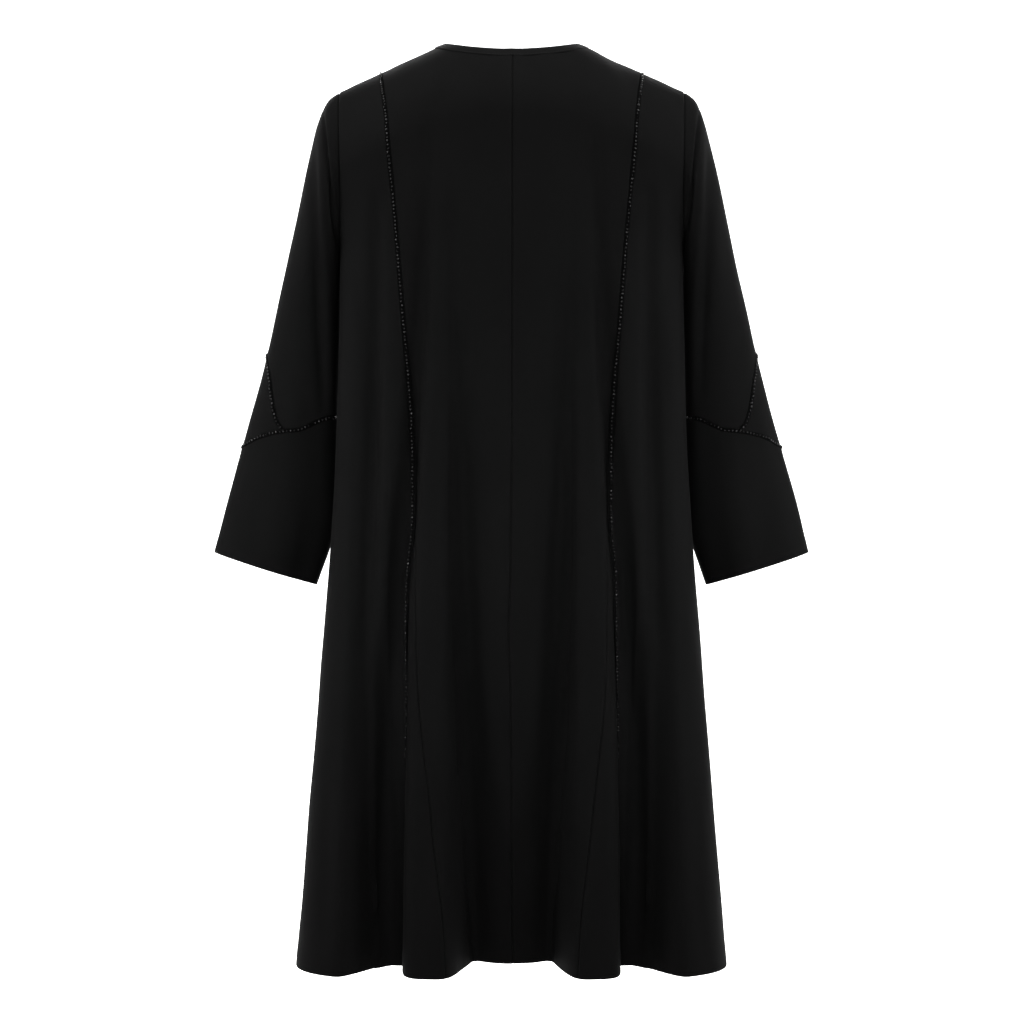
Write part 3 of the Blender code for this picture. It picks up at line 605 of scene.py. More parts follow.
# The centre-back seam's sway: drop, metres towards the wearer's left
SEAM_SWAY = (
    (0.000, -0.0015), (0.330, -0.0005), (0.560, 0.0002), (0.700, 0.0024), (0.756, 0.0042),
    (0.800, 0.0022), (0.900, 0.0008), (1.050, 0.0000), (1.160, -0.0015),
)
SWAY_REACH = 0.05  # how far to either side the cloth sways with the seam

# Soft creases on the back, first the one on the wearer's left, which is +x, then the one on the right: x and
# drop at the start, x and drop at the end, half width and height in millimetres, where a trough is negative.
BACK_CREASES = (
    ("long trough", (0.0964, 0.080, 0.1415, 0.800, 12, -7.8), (-0.0950, 0.080, -0.1490, 0.900, 12, -7.4)),
    ("centre trough", (0.0680, 0.200, 0.0600, 0.950, 12, -6.0), (-0.0700, 0.190, -0.0610, 0.960, 12, -5.6)),
    ("centre hollow", (0.0590, 0.460, 0.0460, 1.300, 17, -10.5), (-0.0605, 0.440, -0.0470, 1.300, 17, -10.0)),
    ("side trough", (0.1670, 0.200, 0.1805, 0.780, 9, -8.2), (-0.1716, 0.190, -0.1806, 0.770, 9, -7.8)),
    ("godet hollow", (0.1393, 0.560, 0.1680, 1.260, 13, -9.0), (-0.1420, 0.560, -0.1650, 1.260, 13, -8.6)),
    ("armhole drag", (0.206, 0.250, 0.172, 0.420, 9, -1.4), (-0.207, 0.245, -0.175, 0.400, 9, -1.3)),
    ("armhole crest", (0.190, 0.235, 0.160, 0.360, 10, 0.9), (-0.191, 0.240, -0.163, 0.350, 10, 0.8)),
    ("centre crest", (0.014, 0.480, 0.006, 1.240, 15, 2.6),),
    ("lobe trough", (0.226, 0.900, 0.232, 1.150, 9, -1.8), (-0.228, 0.930, -0.233, 1.150, 9, -1.7)),
    ("blade sag", (0.120, 0.090, 0.150, 0.200, 14, -0.8), (-0.118, 0.095, -0.152, 0.190, 14, -0.7)),
)
FRONT_CREASES = (
    ("bust drop", (0.092, 0.200, 0.100, 0.520, 14, -1.5), (-0.090, 0.210, -0.102, 0.500, 13, -1.6)),
    ("armhole drag", (0.200, 0.250, 0.150, 0.370, 10, -1.6), (-0.201, 0.245, -0.148, 0.360, 10, -1.5)),
    ("edge trough", (0.040, 0.500, 0.046, 0.900, 12, -1.3), (-0.042, 0.520, -0.048, 0.920, 12, -1.2)),
    ("side trough", (0.170, 0.480, 0.186, 0.800, 10, -1.6), (-0.172, 0.450, -0.187, 0.790, 10, -1.5)),
    ("collar sag", (0.060, 0.060, 0.110, 0.150, 14, -0.9), (-0.062, 0.060, -0.112, 0.160, 14, -0.8)),
)
SLEEVE_BACK_CREASES = (
    ("armhole fold", (0.2410, 0.080, 0.2130, 0.320, 2.2, -4.6), (-0.2415, 0.075, -0.2132, 0.300, 2.2, -4.4)),
    ("armhole crest", (0.2430, 0.110, 0.2290, 0.400, 5, 1.8), (-0.2440, 0.105, -0.2285, 0.380, 5, 1.7)),
    ("armhole trough", (0.2540, 0.110, 0.2400, 0.480, 6.5, -5.0),
     (-0.2550, 0.105, -0.2390, 0.460, 6.5, -4.8)),
    ("elbow trough", (0.300, 0.360, 0.262, 0.450, 10, -1.2), (-0.302, 0.370, -0.260, 0.440, 10, -1.1)),
    ("cuff trough", (0.312, 0.560, 0.330, 0.670, 12, -1.4), (-0.310, 0.550, -0.328, 0.665, 12, -1.3)),
)
SLEEVE_FRONT_CREASES = (
    ("bend trough", (0.290, 0.330, 0.240, 0.420, 10, -1.8), (-0.290, 0.335, -0.238, 0.425, 10, -1.7)),
    ("bend crest", (0.296, 0.390, 0.246, 0.470, 10, 1.0), (-0.296, 0.395, -0.244, 0.475, 10, 0.9)),
    ("cuff trough", (0.308, 0.570, 0.322, 0.680, 12, -1.5), (-0.308, 0.560, -0.322, 0.675, 12, -1.4)),
)
# The cloth's own unevenness: waves a metre across, waves a metre down, phase, millimetres
RIPPLES = (
    (9.0, 2.3, 0.4, 0.35), (14.0, -3.1, 1.9, 0.25), (21.0, 4.7, 3.3, 0.16),
    (5.0, 6.1, 5.2, 0.20), (33.0, -8.0, 0.9, 0.07),
)
RIPPLE_DEPTH = 0.7  # how much a step towards the back counts as a step across
TAPER = 0.6  # below 1 a crease keeps its height for longer before it runs out
FACING_GAIN = 1.4  # how soon a surface that turns to the back or the front counts as facing it

SEAM_DIP = 0.0015  # how far a seam's edges sink between the panels
SEAM_DIP_WIDTH = 0.0011
ALLOWANCE_RISE = 0.00025  # the ridge over the seam allowances
ALLOWANCE_WIDTH = 0.010
HEM_RISE = 0.0003  # the doubled cloth of the hems
HEM_STEP = 0.0012  # how softly that rise ends
HEM_DEPTH = 0.024
CUFF_DEPTH = 0.020
FRONT_EDGE_DEPTH = 0.018
EDGE_ROUND = 0.0004
EDGE_LINES = (0.10, 0.22, 0.36, 0.55, 0.78)  # where fine lines stand between an edge and the line beside it

BRAID_WIDTH = 0.0066
BRAID_HEIGHT = 0.0012
BRAID_LIFT = 0.0001
BRAID_STEP = 0.0012
BRAID_SIDES = 8
PLAIT_PITCH = 0.0036
PLAIT_SWELL = 0.10

BEAD_PITCH = 0.0048
BEAD_RADIUS = 0.00155
BEAD_RINGS = ((0.44, 0.62), (0.96, 0.04), (0.96, -0.25), (0.45, -0.62))  # radius, height, in bead radii
BEAD_SIDES = 8
BEAD_SIZES = (0.80, 1.1)
BEAD_TILT = 0.52
BEAD_STRAY = 0.00018  # how far beads stand off the seam line
BEAD_SEAT = (0.55, 0.35)  # its centre's height over the seam: shares of the braid's height and its own radius
BEAD_END_DROP = 0.914
BEAD_CREASE = 5
BEAD_SEED = 7

STITCH_LENGTH = 0.0026
STITCH_PITCH = 0.0034
STITCH_RADIUS = 0.00022
STITCH_SIDES = 5
# share of the stitch's length, height and girth in thread radii
STITCH_PROFILE = (
    (-0.5, -1.2, 0.7), (-0.36, 0.35, 1.0), (0.0, 0.6, 1.05), (0.36, 0.35, 1.0), (0.5, -1.2, 0.7),
)
ROUND_ALL_OVER = 180  # crease angle of a mesh without sharp edges

# The centre-back seam's two bar tacks: x and drop
TACKS = (("tack_upper", 0.0032, 0.5815), ("tack_lower", 0.0056, 0.7509))
TACK_WIDTH = 0.006
TACK_BARS = 4
TACK_BAR_PITCH = 0.0007
TACK_LIFT = 0.0005
TACK_STITCH_PITCH = 0.0016
TACK_STITCH_LENGTH = 0.0022

# Crepe: dark tone, light tone, roughness
BLACK_CREPE = (0.0030, 0.0040, 0.7)
BLACK_BINDING = (0.0034, 0.0042, 0.6)
CREPE_SPECULAR = 0.012
# Plain materials: tone, roughness, specular level
JET_BEAD = (0.0016, 0.10, 0.13)
BLACK_THREAD = (0.0008, 0.9, 0.02)
# The neck's stitching thread is black. Its grey tone is painted sheen: the shine of the twisted thread is put
# into its colour.
SHEEN_PAINTED_THREAD = (0.018, 0.9, 0.02)
PALE_FLOOR = (0.93, 0.9, 0.1)


def ripple(points):
    """The cloth's slight unevenness at each point."""
    x, y, z = points[..., 0], points[..., 1], points[..., 2]
    around = x + RIPPLE_DEPTH * y
    height = np.zeros_like(x)
    for across, down, phase, size in RIPPLES:
        height += size / 1000 * np.sin(2 * math.pi * (across * around + down * z) + phase)
    return height


def crease_height(points, table):
    """How far a table's creases lift or sink each point, seen square from the back or the front."""
    x, drop = points[..., 0], -points[..., 2]
    height = np.zeros_like(x)
    creases = [crease for row in table for crease in row[1:]]
    for x0, drop0, x1, drop1, half_width, size in creases:
        along = np.array([x1 - x0, drop1 - drop0])
        length = np.linalg.norm(along)
        along = along / length
        share = ((x - x0) * along[0] + (drop - drop0) * along[1]) / length
        away = (x - x0) * along[1] - (drop - drop0) * along[0]
        taper = np.clip(4 * share * (1 - share), 0.0, 1.0) ** TAPER
        height += size / 1000 * taper * np.exp(-((away / (half_width / 1000)) ** 2))
    return height


def facing(normals):
    """How far each point faces the back and the front, from 0 to 1."""
    return [np.clip(FACING_GAIN * way * normals[..., 1], 0.0, 1.0) for way in (1, -1)]


def edge_distance(points, axis, last):
    """How far each point is from the grid's first or last line, along the grid."""
    steps = np.linalg.norm(np.diff(points, axis=axis), axis=-1)
    zero = np.zeros_like(np.take(steps, [0], axis))
    if last:
        steps = np.flip(steps, axis)
    run = np.concatenate([zero, np.cumsum(steps, axis)], axis)
    return np.flip(run, axis) if last else run


def seam_height(distance):
    dip = -SEAM_DIP * np.exp(-((distance / SEAM_DIP_WIDTH) ** 2))
    return dip + ALLOWANCE_RISE * (1 - np.clip(distance / ALLOWANCE_WIDTH, 0.0, 1.0) ** 4)


def free_height(distance, depth):
    """A turned edge: doubled cloth with a rounded rim."""
    rim = -EDGE_ROUND * np.exp(-((distance / EDGE_ROUND) ** 2))
    return rim + HEM_RISE * (1 - np.tanh((distance - depth) / (2 * HEM_STEP))) / 2


def denser(values):
    """A tube's grid with a column set between every two, on a smooth curve through its neighbours."""
    after = np.roll(values, -1, axis=1)
    middle = (9 * (values + after) - np.roll(values, 1, axis=1) - np.roll(values, -2, axis=1)) / 16
    return np.stack([values, middle], 2).reshape(len(values), -1, 3)


def with_edge_lines(points, normals, tube):
    """Adds fine lines beside the grid's edges, so that seams and rims can turn in."""
    def refine(values, axis):
        first, second, next_to_last, last = (np.take(values, [k], axis) for k in (0, 1, -2, -1))
        near = [first * (1 - t) + second * t for t in EDGE_LINES]
        far = [last * (1 - t) + next_to_last * t for t in EDGE_LINES[::-1]]
        inner = np.take(values, range(1, values.shape[axis] - 1), axis)
        return np.concatenate([first, *near, inner, *far, last], axis)

    for axis in (0,) if tube else (0, 1):
        points, normals = refine(points, axis), refine(normals, axis)
    return points, unit(normals)


def dressed(points, normals, side, edges, creases, tube):
    """A panel's outer and inner points on one side of the body, with its creases, seams and rims."""
    points, normals = with_edge_lines(set_back(points, normals, tube), normals, tube)
    if tube:
        points, normals = denser(points), unit(denser(normals))
    faced = facing(normals)
    sway = follow(SEAM_SWAY, -points[..., 2])
    reach = np.exp(-((points[..., 0] / SWAY_REACH) ** 2)) * faced[0]
    mirror = np.array([side, 1.0, 1.0])
    points, normals = points * mirror, normals * mirror
    points[..., 0] += sway * reach
    height = ripple(points)
    for share, table in zip(faced, creases):
        height = height + share * crease_height(points, table)
    for number, kind in enumerate(edges):
        if kind is None:
            continue
        distance = edge_distance(points, number // 2, number % 2 == 1)
        height = height + (seam_height(distance) if kind == "seam" else free_height(distance, kind))
    outer = points + normals * height[..., None]
    return outer, outer - normals * CLOTH


def shell(name, outer, inner, tube, material, side):
    """A closed mesh between two grids."""
    rows, columns = outer.shape[:2]
    under = rows * columns
    span = columns if tube else columns - 1
    i, j = np.meshgrid(np.arange(rows - 1), np.arange(span), indexing="ij")
    here, beside = i * columns + j, i * columns + (j + 1) % columns
    quads = np.stack([here, beside, beside + columns, here + columns], -1).reshape(-1, 4)
    faces = [quads, under + quads[:, ::-1]]
    first = np.arange(columns)
    last = (rows - 1) * columns + first
    if tube:
        rims = [np.append(first, first[0]), np.append(last, last[0])[::-1]]
    else:
        down = np.arange(rows) * columns
        rims = [np.concatenate([first, down[1:] + columns - 1, last[::-1][1:], down[::-1][1:]])]
    for rim in rims:
        faces.append(np.stack([rim[1:], rim[:-1], under + rim[:-1], under + rim[1:]], -1))
    faces = np.concatenate(faces)
    if side < 0:
        faces = faces[:, ::-1]
    return make_mesh(name, np.concatenate([outer.reshape(-1, 3), inner.reshape(-1, 3)]), faces, material)


def make_mesh(name, points, faces, material, crease=CREASE_ANGLE):
    mesh = bpy.data.meshes.new(name)
    mesh.from_pydata(points.tolist(), [], faces.tolist() if hasattr(faces, "tolist") else faces)
    mesh.materials.append(material)
    mesh.shade_smooth()
    mesh.set_sharp_from_angle(angle=math.radians(crease))
    mesh.validate()
    obj = bpy.data.objects.new(name, mesh)
    link(obj)
    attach(obj, "root")
    return obj


def declare(node):
    """Hides the imported solid that the panel replaces."""
    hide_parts(node)


def set_inputs(node, values):
    for name, value in values.items():
        node.inputs[name].default_value = value


def grey(tone):
    return (tone, tone, tone, 1.0)


def plain_material(name, tone, roughness, specular):
    """A material of one grey tone, and its shader."""
    material = bpy.data.materials.new(name)
    material.use_nodes = True
    shader = material.node_tree.nodes["Principled BSDF"]
    set_inputs(shader, {"Base Color": grey(tone), "Roughness": roughness, "Specular IOR Level": specular})
    return material, shader


def crepe_material(name, dark, light, roughness):
    """Black crepe: a fine pebbled weave with a faint upright grain, matt all over."""
    material, shader = plain_material(name, dark, roughness, CREPE_SPECULAR)
    nodes, links = material.node_tree.nodes, material.node_tree.links
    place, grain = nodes.new("ShaderNodeTexCoord"), nodes.new("ShaderNodeMapping")
    set_inputs(grain, {"Scale": (1.0, 1.0, 0.45)})
    links.new(place.outputs["Object"], grain.inputs["Vector"])
    pebble, patch = nodes.new("ShaderNodeTexNoise"), nodes.new("ShaderNodeTexNoise")
    set_inputs(pebble, {"Scale": 1100.0, "Detail": 2.0})
    set_inputs(patch, {"Scale": 22.0, "Detail": 3.0})
    for noise in (pebble, patch):
        links.new(grain.outputs["Vector"], noise.inputs["Vector"])
    tone = nodes.new("ShaderNodeMix")
    tone.data_type = "RGBA"
    set_inputs(tone, {"A": grey(dark), "B": grey(light)})
    links.new(patch.outputs["Fac"], tone.inputs["Factor"])
    links.new(tone.outputs["Result"], shader.inputs["Base Color"])
    bump = nodes.new("ShaderNodeBump")
    set_inputs(bump, {"Strength": 0.35, "Distance": 0.0002})
    links.new(pebble.outputs["Fac"], bump.inputs["Height"])
    links.new(bump.outputs["Normal"], shader.inputs["Normal"])
    return material


def along_line(line, normals, pitch, start=0.0):
    """Points, directions and normals spaced evenly along a line."""
    steps = np.linalg.norm(np.diff(line, axis=0), axis=1)
    run = np.concatenate([[0.0], np.cumsum(steps)])
    at = np.arange(start, run[-1], pitch)

    def between(values, places):
        return np.stack([np.interp(places, run, values[:, k]) for k in range(3)], -1)

    ahead = between(line, np.minimum(at + pitch / 4, run[-1]))
    behind = between(line, np.maximum(at - pitch / 4, 0.0))
    return between(line, at), unit(ahead - behind), unit(between(normals, at))


def bead_shape():
    """A small bead, in bead radii: rings of facets between a flat table and a closed foot."""
    points = []
    for number, (radius, height) in enumerate(BEAD_RINGS):
        turn = math.pi / BEAD_SIDES * (number % 2)
        for k in range(BEAD_SIDES):
            angle = 2 * math.pi * k / BEAD_SIDES + turn
            points.append((radius * math.cos(angle), radius * math.sin(angle), height))
    last = len(BEAD_RINGS) - 1
    faces = [tuple(range(BEAD_SIDES)), tuple(last * BEAD_SIDES + k for k in reversed(range(BEAD_SIDES)))]
    for ring_number in range(last):
        a, b = ring_number * BEAD_SIDES, (ring_number + 1) * BEAD_SIDES
        for k in range(BEAD_SIDES):
            after = (k + 1) % BEAD_SIDES
            if ring_number % 2 == 0:
                faces += [(a + k, b + k, a + after), (a + after, b + k, b + after)]
            else:
                faces += [(a + k, b + k, b + after), (a + k, b + after, a + after)]
    return np.array(points), faces


def bead_row(name, line, normals, material, rng):
    """One mesh of beads along a seam, each turned a little its own way so that few of them glint at once."""
    shape, faces = bead_shape()
    places, ahead, up = along_line(line, normals, BEAD_PITCH, BEAD_PITCH / 2)
    points, polygons = [], []
    for place, way, normal in zip(places, ahead, up):
        size = BEAD_RADIUS * rng.uniform(*BEAD_SIZES)
        turn = rng.uniform(0, 2 * math.pi)
        tilt = rng.normal(0, BEAD_TILT, 2)
        axis = unit(normal + tilt[0] * way + tilt[1] * np.cross(normal, way))
        side_way = unit(np.cross(axis, way))
        front_way = np.cross(side_way, axis)
        x = math.cos(turn) * front_way + math.sin(turn) * side_way
        y = np.cross(axis, x)
        centre = place + normal * (BRAID_HEIGHT * BEAD_SEAT[0] + size * BEAD_SEAT[1])
        centre = centre + rng.normal(0, BEAD_STRAY) * np.cross(normal, way)
        first = len(points) * len(shape)
        points.append(centre + size * (shape[:, :1] * x + shape[:, 1:2] * y + shape[:, 2:] * axis))
        polygons += [tuple(first + k for k in face) for face in faces]
    return make_mesh(name, np.concatenate(points), polygons, material, crease=BEAD_CREASE)


def tube_faces(rings, sides, first=0, closed=False):
    """Faces of a tube of rings whose points start at a number, capped unless it closes on itself."""
    faces = []
    for i in range(rings if closed else rings - 1):
        here, ahead = first + i * sides, first + (i + 1) % rings * sides
        for k in range(sides):
            after = (k + 1) % sides
            faces.append((here + k, here + after, ahead + after, ahead + k))
    if not closed:
        faces.append(tuple(first + k for k in reversed(range(sides))))
        faces.append(tuple(first + (rings - 1) * sides + k for k in range(sides)))
    return faces


def braid(name, line, normals, material, closed):
    """A flat plaited cord along a seam, rounded over its top."""
    places, ahead, up = along_line(line, normals, BRAID_STEP)
    if closed:
        places, ahead, up = places[:-1], ahead[:-1], up[:-1]
    angles = 2 * math.pi * np.arange(BRAID_SIDES) / BRAID_SIDES
    run = np.arange(len(places)) * BRAID_STEP
    plait = 1 + PLAIT_SWELL * np.sin(2 * math.pi * run / PLAIT_PITCH)
    across = np.cross(up, ahead)
    points = (
        places[:, None]
        + across[:, None] * (BRAID_WIDTH / 2 * plait[:, None] * np.cos(angles))[..., None]
        + up[:, None] * (BRAID_HEIGHT / 2 * np.sin(angles) + BRAID_LIFT)[None, :, None]
    )
    faces = tube_faces(len(places), BRAID_SIDES, closed=closed)
    return make_mesh(name, points.reshape(-1, 3), faces, material, crease=ROUND_ALL_OVER)


def stitch_row(name, line, normals, material, pitch=STITCH_PITCH, length=STITCH_LENGTH):
    """One mesh of sewing stitches along a line, each a short thread that dives at both ends."""
    places, ahead, up = along_line(line, normals, pitch, pitch / 2)
    angles = 2 * math.pi * np.arange(STITCH_SIDES) / STITCH_SIDES
    points, faces = [], []
    for place, way, normal in zip(places, ahead, up):
        faces += tube_faces(len(STITCH_PROFILE), STITCH_SIDES, first=len(points) * STITCH_SIDES)
        across = np.cross(normal, way)
        circle = np.cos(angles)[:, None] * across + np.sin(angles)[:, None] * normal
        for share, height, girth in STITCH_PROFILE:
            centre = place + way * share * length + normal * (height * STITCH_RADIUS)
            points.append(centre + girth * STITCH_RADIUS * circle)
    return make_mesh(name, np.concatenate(points), faces, material, crease=ROUND_ALL_OVER)


def band_ring(reach):
    """Points and normals along the neck, a plan distance outside its edge, on the left half, front first."""
    points, normals = [], []
    for front, columns in ((True, FRONT_NECK_COLUMNS), (False, NECK_COLUMNS)):
        turn = even(columns) * math.pi / 2
        depth = -NECK_FRONT_DEPTH if front else NECK_BACK_DEPTH
        x = (NECK_HALF_WIDTH + reach) * np.sin(turn)
        if front:
            x = np.maximum(x, FRONT_EDGE)
        y = SHOULDER_Y + (depth + math.copysign(reach, depth)) * np.cos(turn)
        drop = surface_drop(x, y, front)
        normal = body_normal(angle_of(x, drop, front), drop + 3 * SMALL)
        normal[-1] = shoulder_normal(x[-1:])[0]
        points.append(np.stack([x, y, -drop], -1))
        normals.append(normal)
    return [np.concatenate([half[0], half[1][::-1][1:]]) for half in (points, normals)]


def both_halves(values):
    """A left half row that ends at the centre back, carried on over the right half."""
    return np.concatenate([values, (values * np.array([-1.0, 1.0, 1.0]))[::-1][1:]])


# The neck band's cross section: share of its width from the neck edge, height over the cloth, rise
BAND_PROFILE = (
    (-0.09, -0.0030, 0.0002), (-0.09, -0.0006, 0.0004), (-0.04, 0.0006, 0.0004),
    (0.05, 0.0012, 0.0004), (0.16, 0.0014, 0.0003), (0.24, 0.0011, 0.0003),
    (0.32, 0.0014, 0.0002), (0.55, 0.0015, 0.0001), (0.74, 0.0014, 0.0000),
    (0.86, 0.0011, 0.0000), (0.91, 0.0010, 0.0000), (0.96, 0.0007, 0.0000),
    (1.00, 0.0001, 0.0000),
)
BAND_WIDTH = 0.0150
BAND_THICKNESS = 0.0004
BAND_UNDERSIDE = 0.0002  # the highest that its underside stands over the cloth
BAND_STITCH_ROWS = (("neck_stitches_upper", 0.24), ("neck_stitches_lower", 0.88))


def neck_pieces(crepe, thread):
    """The narrow band round the neck edge with its two rows of edge stitching. The stitching thread is black,
    and its grey tone is painted sheen.
    """
    edge, edge_normals = band_ring(0.0)
    trial, _ = band_ring(BAND_WIDTH)
    widths = BAND_WIDTH * BAND_WIDTH / np.linalg.norm(trial - edge, axis=-1)
    rings = [band_ring(distance) for distance in widths]
    low, low_normals = (np.array([made[item][k] for k, made in enumerate(rings)]) for item in (0, 1))
    edge, low, edge_normals, low_normals = (both_halves(v) for v in (edge, low, edge_normals, low_normals))

    def line_at(share, rise):
        """The band's line at a share of its width, with its outward directions."""
        line = edge + (low - edge) * share + np.array([0.0, 0.0, rise])
        return line, unit(edge_normals + (low_normals - edge_normals) * min(max(share, 0.0), 1.0))

    outer, inner = [], []
    for share, height, rise in BAND_PROFILE:
        base, way = line_at(share, rise)
        outer.append(base + way * height)
        inner.append(base + way * min(height - BAND_THICKNESS, BAND_UNDERSIDE))
    outer, inner = np.array(outer), np.array(inner)
    band = shell("cloth_neck_band", outer, inner, False, crepe, 1)
    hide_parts("neck_band")
    for name, share in BAND_STITCH_ROWS:
        shares = column(BAND_PROFILE, 0)
        height, rise = (np.interp(share, shares, column(BAND_PROFILE, number)) for number in (1, 2))
        line, way = line_at(share, rise)
        row = stitch_row(name, line + way * height, way, thread)


def bar_tack(name, x, drop, material):
    """A few thread bars sewn to and fro across the centre-back seam."""
    lines, ways = [], []
    for k in range(TACK_BARS):
        here = np.array([drop + TACK_BAR_PITCH * k])
        angle = np.array([angle_of(abs(x) + SMALL, here[0], False)])
        point, normal = body_point(angle, here)[0], body_normal(angle, here)[0]
        ends = np.array([(x - TACK_WIDTH / 2, point[1], point[2]), (x + TACK_WIDTH / 2, point[1], point[2])])
        lines.append((ends + normal * TACK_LIFT)[:: (-1) ** k])
        ways += [normal, normal]
    line, normals = np.concatenate(lines), np.array(ways)
    obj = stitch_row(name, line, normals, material, TACK_STITCH_PITCH, TACK_STITCH_LENGTH)


def build():
    crepe = crepe_material("black_crepe", *BLACK_CREPE)
    band_crepe = crepe_material("black_binding", *BLACK_BINDING)
    bead = plain_material("jet_bead", *JET_BEAD)[0]
    thread = plain_material("black_thread", *BLACK_THREAD)[0]
    # The neck's black stitching thread has a grey tone of painted sheen
    neck_thread_painted_sheen = plain_material("binding_thread_painted_sheen", *SHEEN_PAINTED_THREAD)[0]
    side, front = side_back_grid(), front_grid()
    loop, loop_normals = armhole_loop(side, front)
    (upper, lower, wedge), shared = sleeve_grids(loop, loop_normals)
    # Body and sleeve share their outward directions along the armhole
    side[1][: UPPER_ROWS + 1, -1] = shared[: UPPER_ROWS + 1]
    front[1][0, -1] = shared[0]
    front[1][1 : UPPER_ROWS + 1, -1] = shared[UPPER_ROWS:][::-1]
    body_creases = (BACK_CREASES, FRONT_CREASES)
    sleeve_creases = (SLEEVE_BACK_CREASES, SLEEVE_FRONT_CREASES)
    # name, grid, kinds of the first and last row and the first and last column, creases, tube
    panels = (
        ("back_centre", centre_back_grid(), ("seam", HEM_DEPTH, "seam", "seam"), body_creases, False),
        ("back_side", side, ("seam", HEM_DEPTH, "seam", "seam"), body_creases, False),
        ("godet", godet_grid(), ("seam", HEM_DEPTH, "seam", "seam"), body_creases, False),
        ("front", front, ("seam", HEM_DEPTH, FRONT_EDGE_DEPTH, "seam"), body_creases, False),
        ("sleeve_upper", upper, ("seam", "seam", None, None), sleeve_creases, True),
        ("sleeve_lower", lower, ("seam", CUFF_DEPTH, None, None), sleeve_creases, True),
        ("sleeve_wedge", wedge_patch(wedge), ("seam", "seam", "seam", "seam"), sleeve_creases, False),
    )
    beaded = -side[0][:, 0, 2] < BEAD_END_DROP
    # name, line and outward directions of each braided seam, and whether it closes on itself
    seams = (
        ("princess", [values[beaded, 0] for values in side], False),
        ("elbow", [np.concatenate([values[0], values[0][:1]]) for values in lower], True),
        ("wedge", [values[-1][WEDGE_COLUMNS] for values in upper], False),
    )
    rng = np.random.default_rng(BEAD_SEED)
    for side_name, sign in (("left", 1), ("right", -1)):
        for name, grid, edges, creases, tube in panels:
            outer, inner = dressed(grid[0], grid[1], sign, edges, creases, tube)
            obj = shell(f"cloth_{name}_{side_name}", outer, inner, tube, crepe, sign)
            declare(f"{name}_{side_name}")
        for name, values, closed in seams:
            line, ways = (half * np.array([sign, 1.0, 1.0]) for half in values)
            line = line + ways * ripple(line)[:, None]
            cord = braid(f"braid_{name}_{side_name}", line, ways, thread, closed)
            beads = bead_row(f"beads_{name}_{side_name}", line, ways, bead, rng)
    neck_pieces(band_crepe, neck_thread_painted_sheen)
    for name, x, drop in TACKS:
        bar_tack(name, x, drop, thread)


# The floor runs from its near edge past the cloak to a bend and a wall
FLOOR_HEIGHT = -1.43
FLOOR_DEPTH = 2.6
FLOOR_BEND = 1.2
FLOOR_HALF_WIDTH = 9.0
FLOOR_NEAR_EDGE = 6.0
WALL_TOP = 4.2
BEND_STEPS = 12
FLOOR_GLOW = 0.88
ROOM_LIGHT = 0.06  # how bright the room is as the cloth sees it
WHITE = grey(1.0)

# name, place and aim on the left, width, height, spread in degrees, powers left and right or of one alone
LAMPS = (
    ("side", (3.0, 1.2, 0.7), (0.0, 0.0, -0.3), 0.7, 2.2, 180, (54, 56)),
    ("round", (3.0, 0.1, 0.5), (0.0, 0.0, -0.4), 0.7, 2.2, 180, (29, 29)),
    ("back", (0.8, 2.8, 0.4), (0.0, 0.0, -0.3), 0.9, 1.2, 180, (32, 30)),
    ("cuff", (2.0, 2.2, -1.1), (0.33, -0.03, -0.62), 0.5, 0.5, 20, (0.8, 0.8)),
    ("top", (0.0, 0.6, 2.2), (0.0, 0.0, -0.3), 3.0, 2.4, 180, (92,)),
    ("front", (1.1, -2.7, 1.5), (0.0, 0.0, -0.5), 0.9, 1.2, 180, (46, 34)),
    ("wall", (3.5, -1.4, 1.8), (0.0, -3.6, -0.6), 2.0, 2.0, 180, (110, 110)),
)

PICTURE = 1024.0  # pixels
FOCAL_LENGTH = 2264.0  # pixels
SENSOR = 36.0  # millimetres
CENTRE_SHIFT = 0.4  # pixels
CAMERA_PLACE = (0.0, 2.9, -0.600)
CAMERA_REACH = 50.0


def link(obj):
    bpy.context.scene.collection.objects.link(obj)


def floor():
    """A pale floor that curves up into a pale wall."""
    profile = [(FLOOR_NEAR_EDGE, FLOOR_HEIGHT)]
    for k in range(BEND_STEPS + 1):
        turn = math.pi / 2 * k / BEND_STEPS
        y = -FLOOR_DEPTH - FLOOR_BEND * math.sin(turn)
        profile.append((y, FLOOR_HEIGHT + FLOOR_BEND * (1 - math.cos(turn))))
    profile.append((-FLOOR_DEPTH - FLOOR_BEND, WALL_TOP))
    points = [(x, y, z) for y, z in profile for x in (-FLOOR_HALF_WIDTH, FLOOR_HALF_WIDTH)]
    faces = [(2 * i, 2 * i + 2, 2 * i + 3, 2 * i + 1) for i in range(len(profile) - 1)]
    mesh = bpy.data.meshes.new("floor")
    mesh.from_pydata(points, [], faces)
    mesh.shade_smooth()
    material, shader = plain_material("pale_floor", *PALE_FLOOR)
    set_inputs(shader, {"Emission Color": WHITE, "Emission Strength": FLOOR_GLOW})
    mesh.materials.append(material)
    obj = bpy.data.objects.new("floor", mesh)
    obj.visible_diffuse = False
    link(obj)


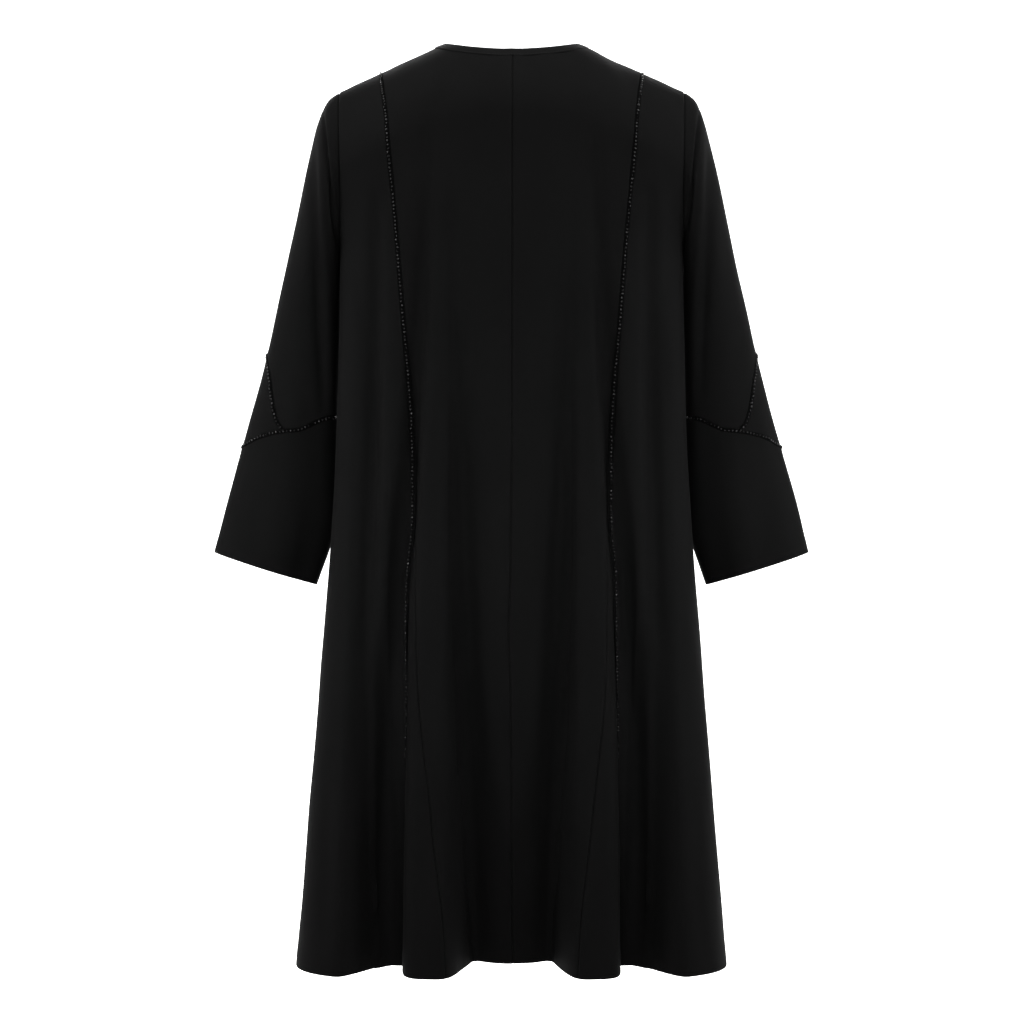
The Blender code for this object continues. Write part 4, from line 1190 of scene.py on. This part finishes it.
def room():
    """A white room that lights the cloth only faintly."""
    world = bpy.data.worlds.new("soft_room")
    world.use_nodes = True
    nodes, links = world.node_tree.nodes, world.node_tree.links
    dim, seen = nodes["Background"], nodes.new("ShaderNodeBackground")
    set_inputs(dim, {"Color": WHITE, "Strength": ROOM_LIGHT})
    set_inputs(seen, {"Color": WHITE})
    ray, either = nodes.new("ShaderNodeLightPath"), nodes.new("ShaderNodeMixShader")
    links.new(ray.outputs["Is Camera Ray"], either.inputs["Fac"])
    links.new(dim.outputs["Background"], either.inputs[1])
    links.new(seen.outputs["Background"], either.inputs[2])
    links.new(either.outputs["Shader"], nodes["World Output"].inputs["Surface"])
    bpy.context.scene.world = world


def lamp(name, place, aim, wide, high, spread, power):
    """A soft rectangular lamp that lights the cloak and isn't seen itself."""
    light = bpy.data.lights.new(name, "AREA")
    light.shape = "RECTANGLE"
    light.size, light.size_y = wide, high
    light.energy = power
    light.spread = math.radians(spread)
    obj = bpy.data.objects.new(name, light)
    obj.visible_camera = False
    obj.location = place
    away = [p - a for p, a in zip(place, aim)]
    flat = math.hypot(away[0], away[1])
    obj.rotation_euler = (math.atan2(flat, away[2]), 0.0, math.atan2(away[0], -away[1]))
    link(obj)


def lamps():
    for name, place, aim, wide, high, spread, powers in LAMPS:
        endings = (("_left", 1), ("_right", -1)) if len(powers) == 2 else (("", 1),)
        for (ending, sign), power in zip(endings, powers):
            there, target = ((sign * spot[0], spot[1], spot[2]) for spot in (place, aim))
            lamp(name + ending, there, target, wide, high, spread, power)


def camera():
    lens = bpy.data.cameras.new("camera")
    lens.sensor_width = SENSOR
    lens.lens = FOCAL_LENGTH / PICTURE * SENSOR
    lens.shift_x = CENTRE_SHIFT / PICTURE
    lens.clip_end = CAMERA_REACH
    obj = bpy.data.objects.new("camera", lens)
    obj.location = CAMERA_PLACE
    obj.rotation_euler = (math.pi / 2, 0.0, math.pi)
    link(obj)
    bpy.context.scene.camera = obj
    bpy.context.scene.view_settings.view_transform = "Standard"


build()
floor()
room()
lamps()
camera()
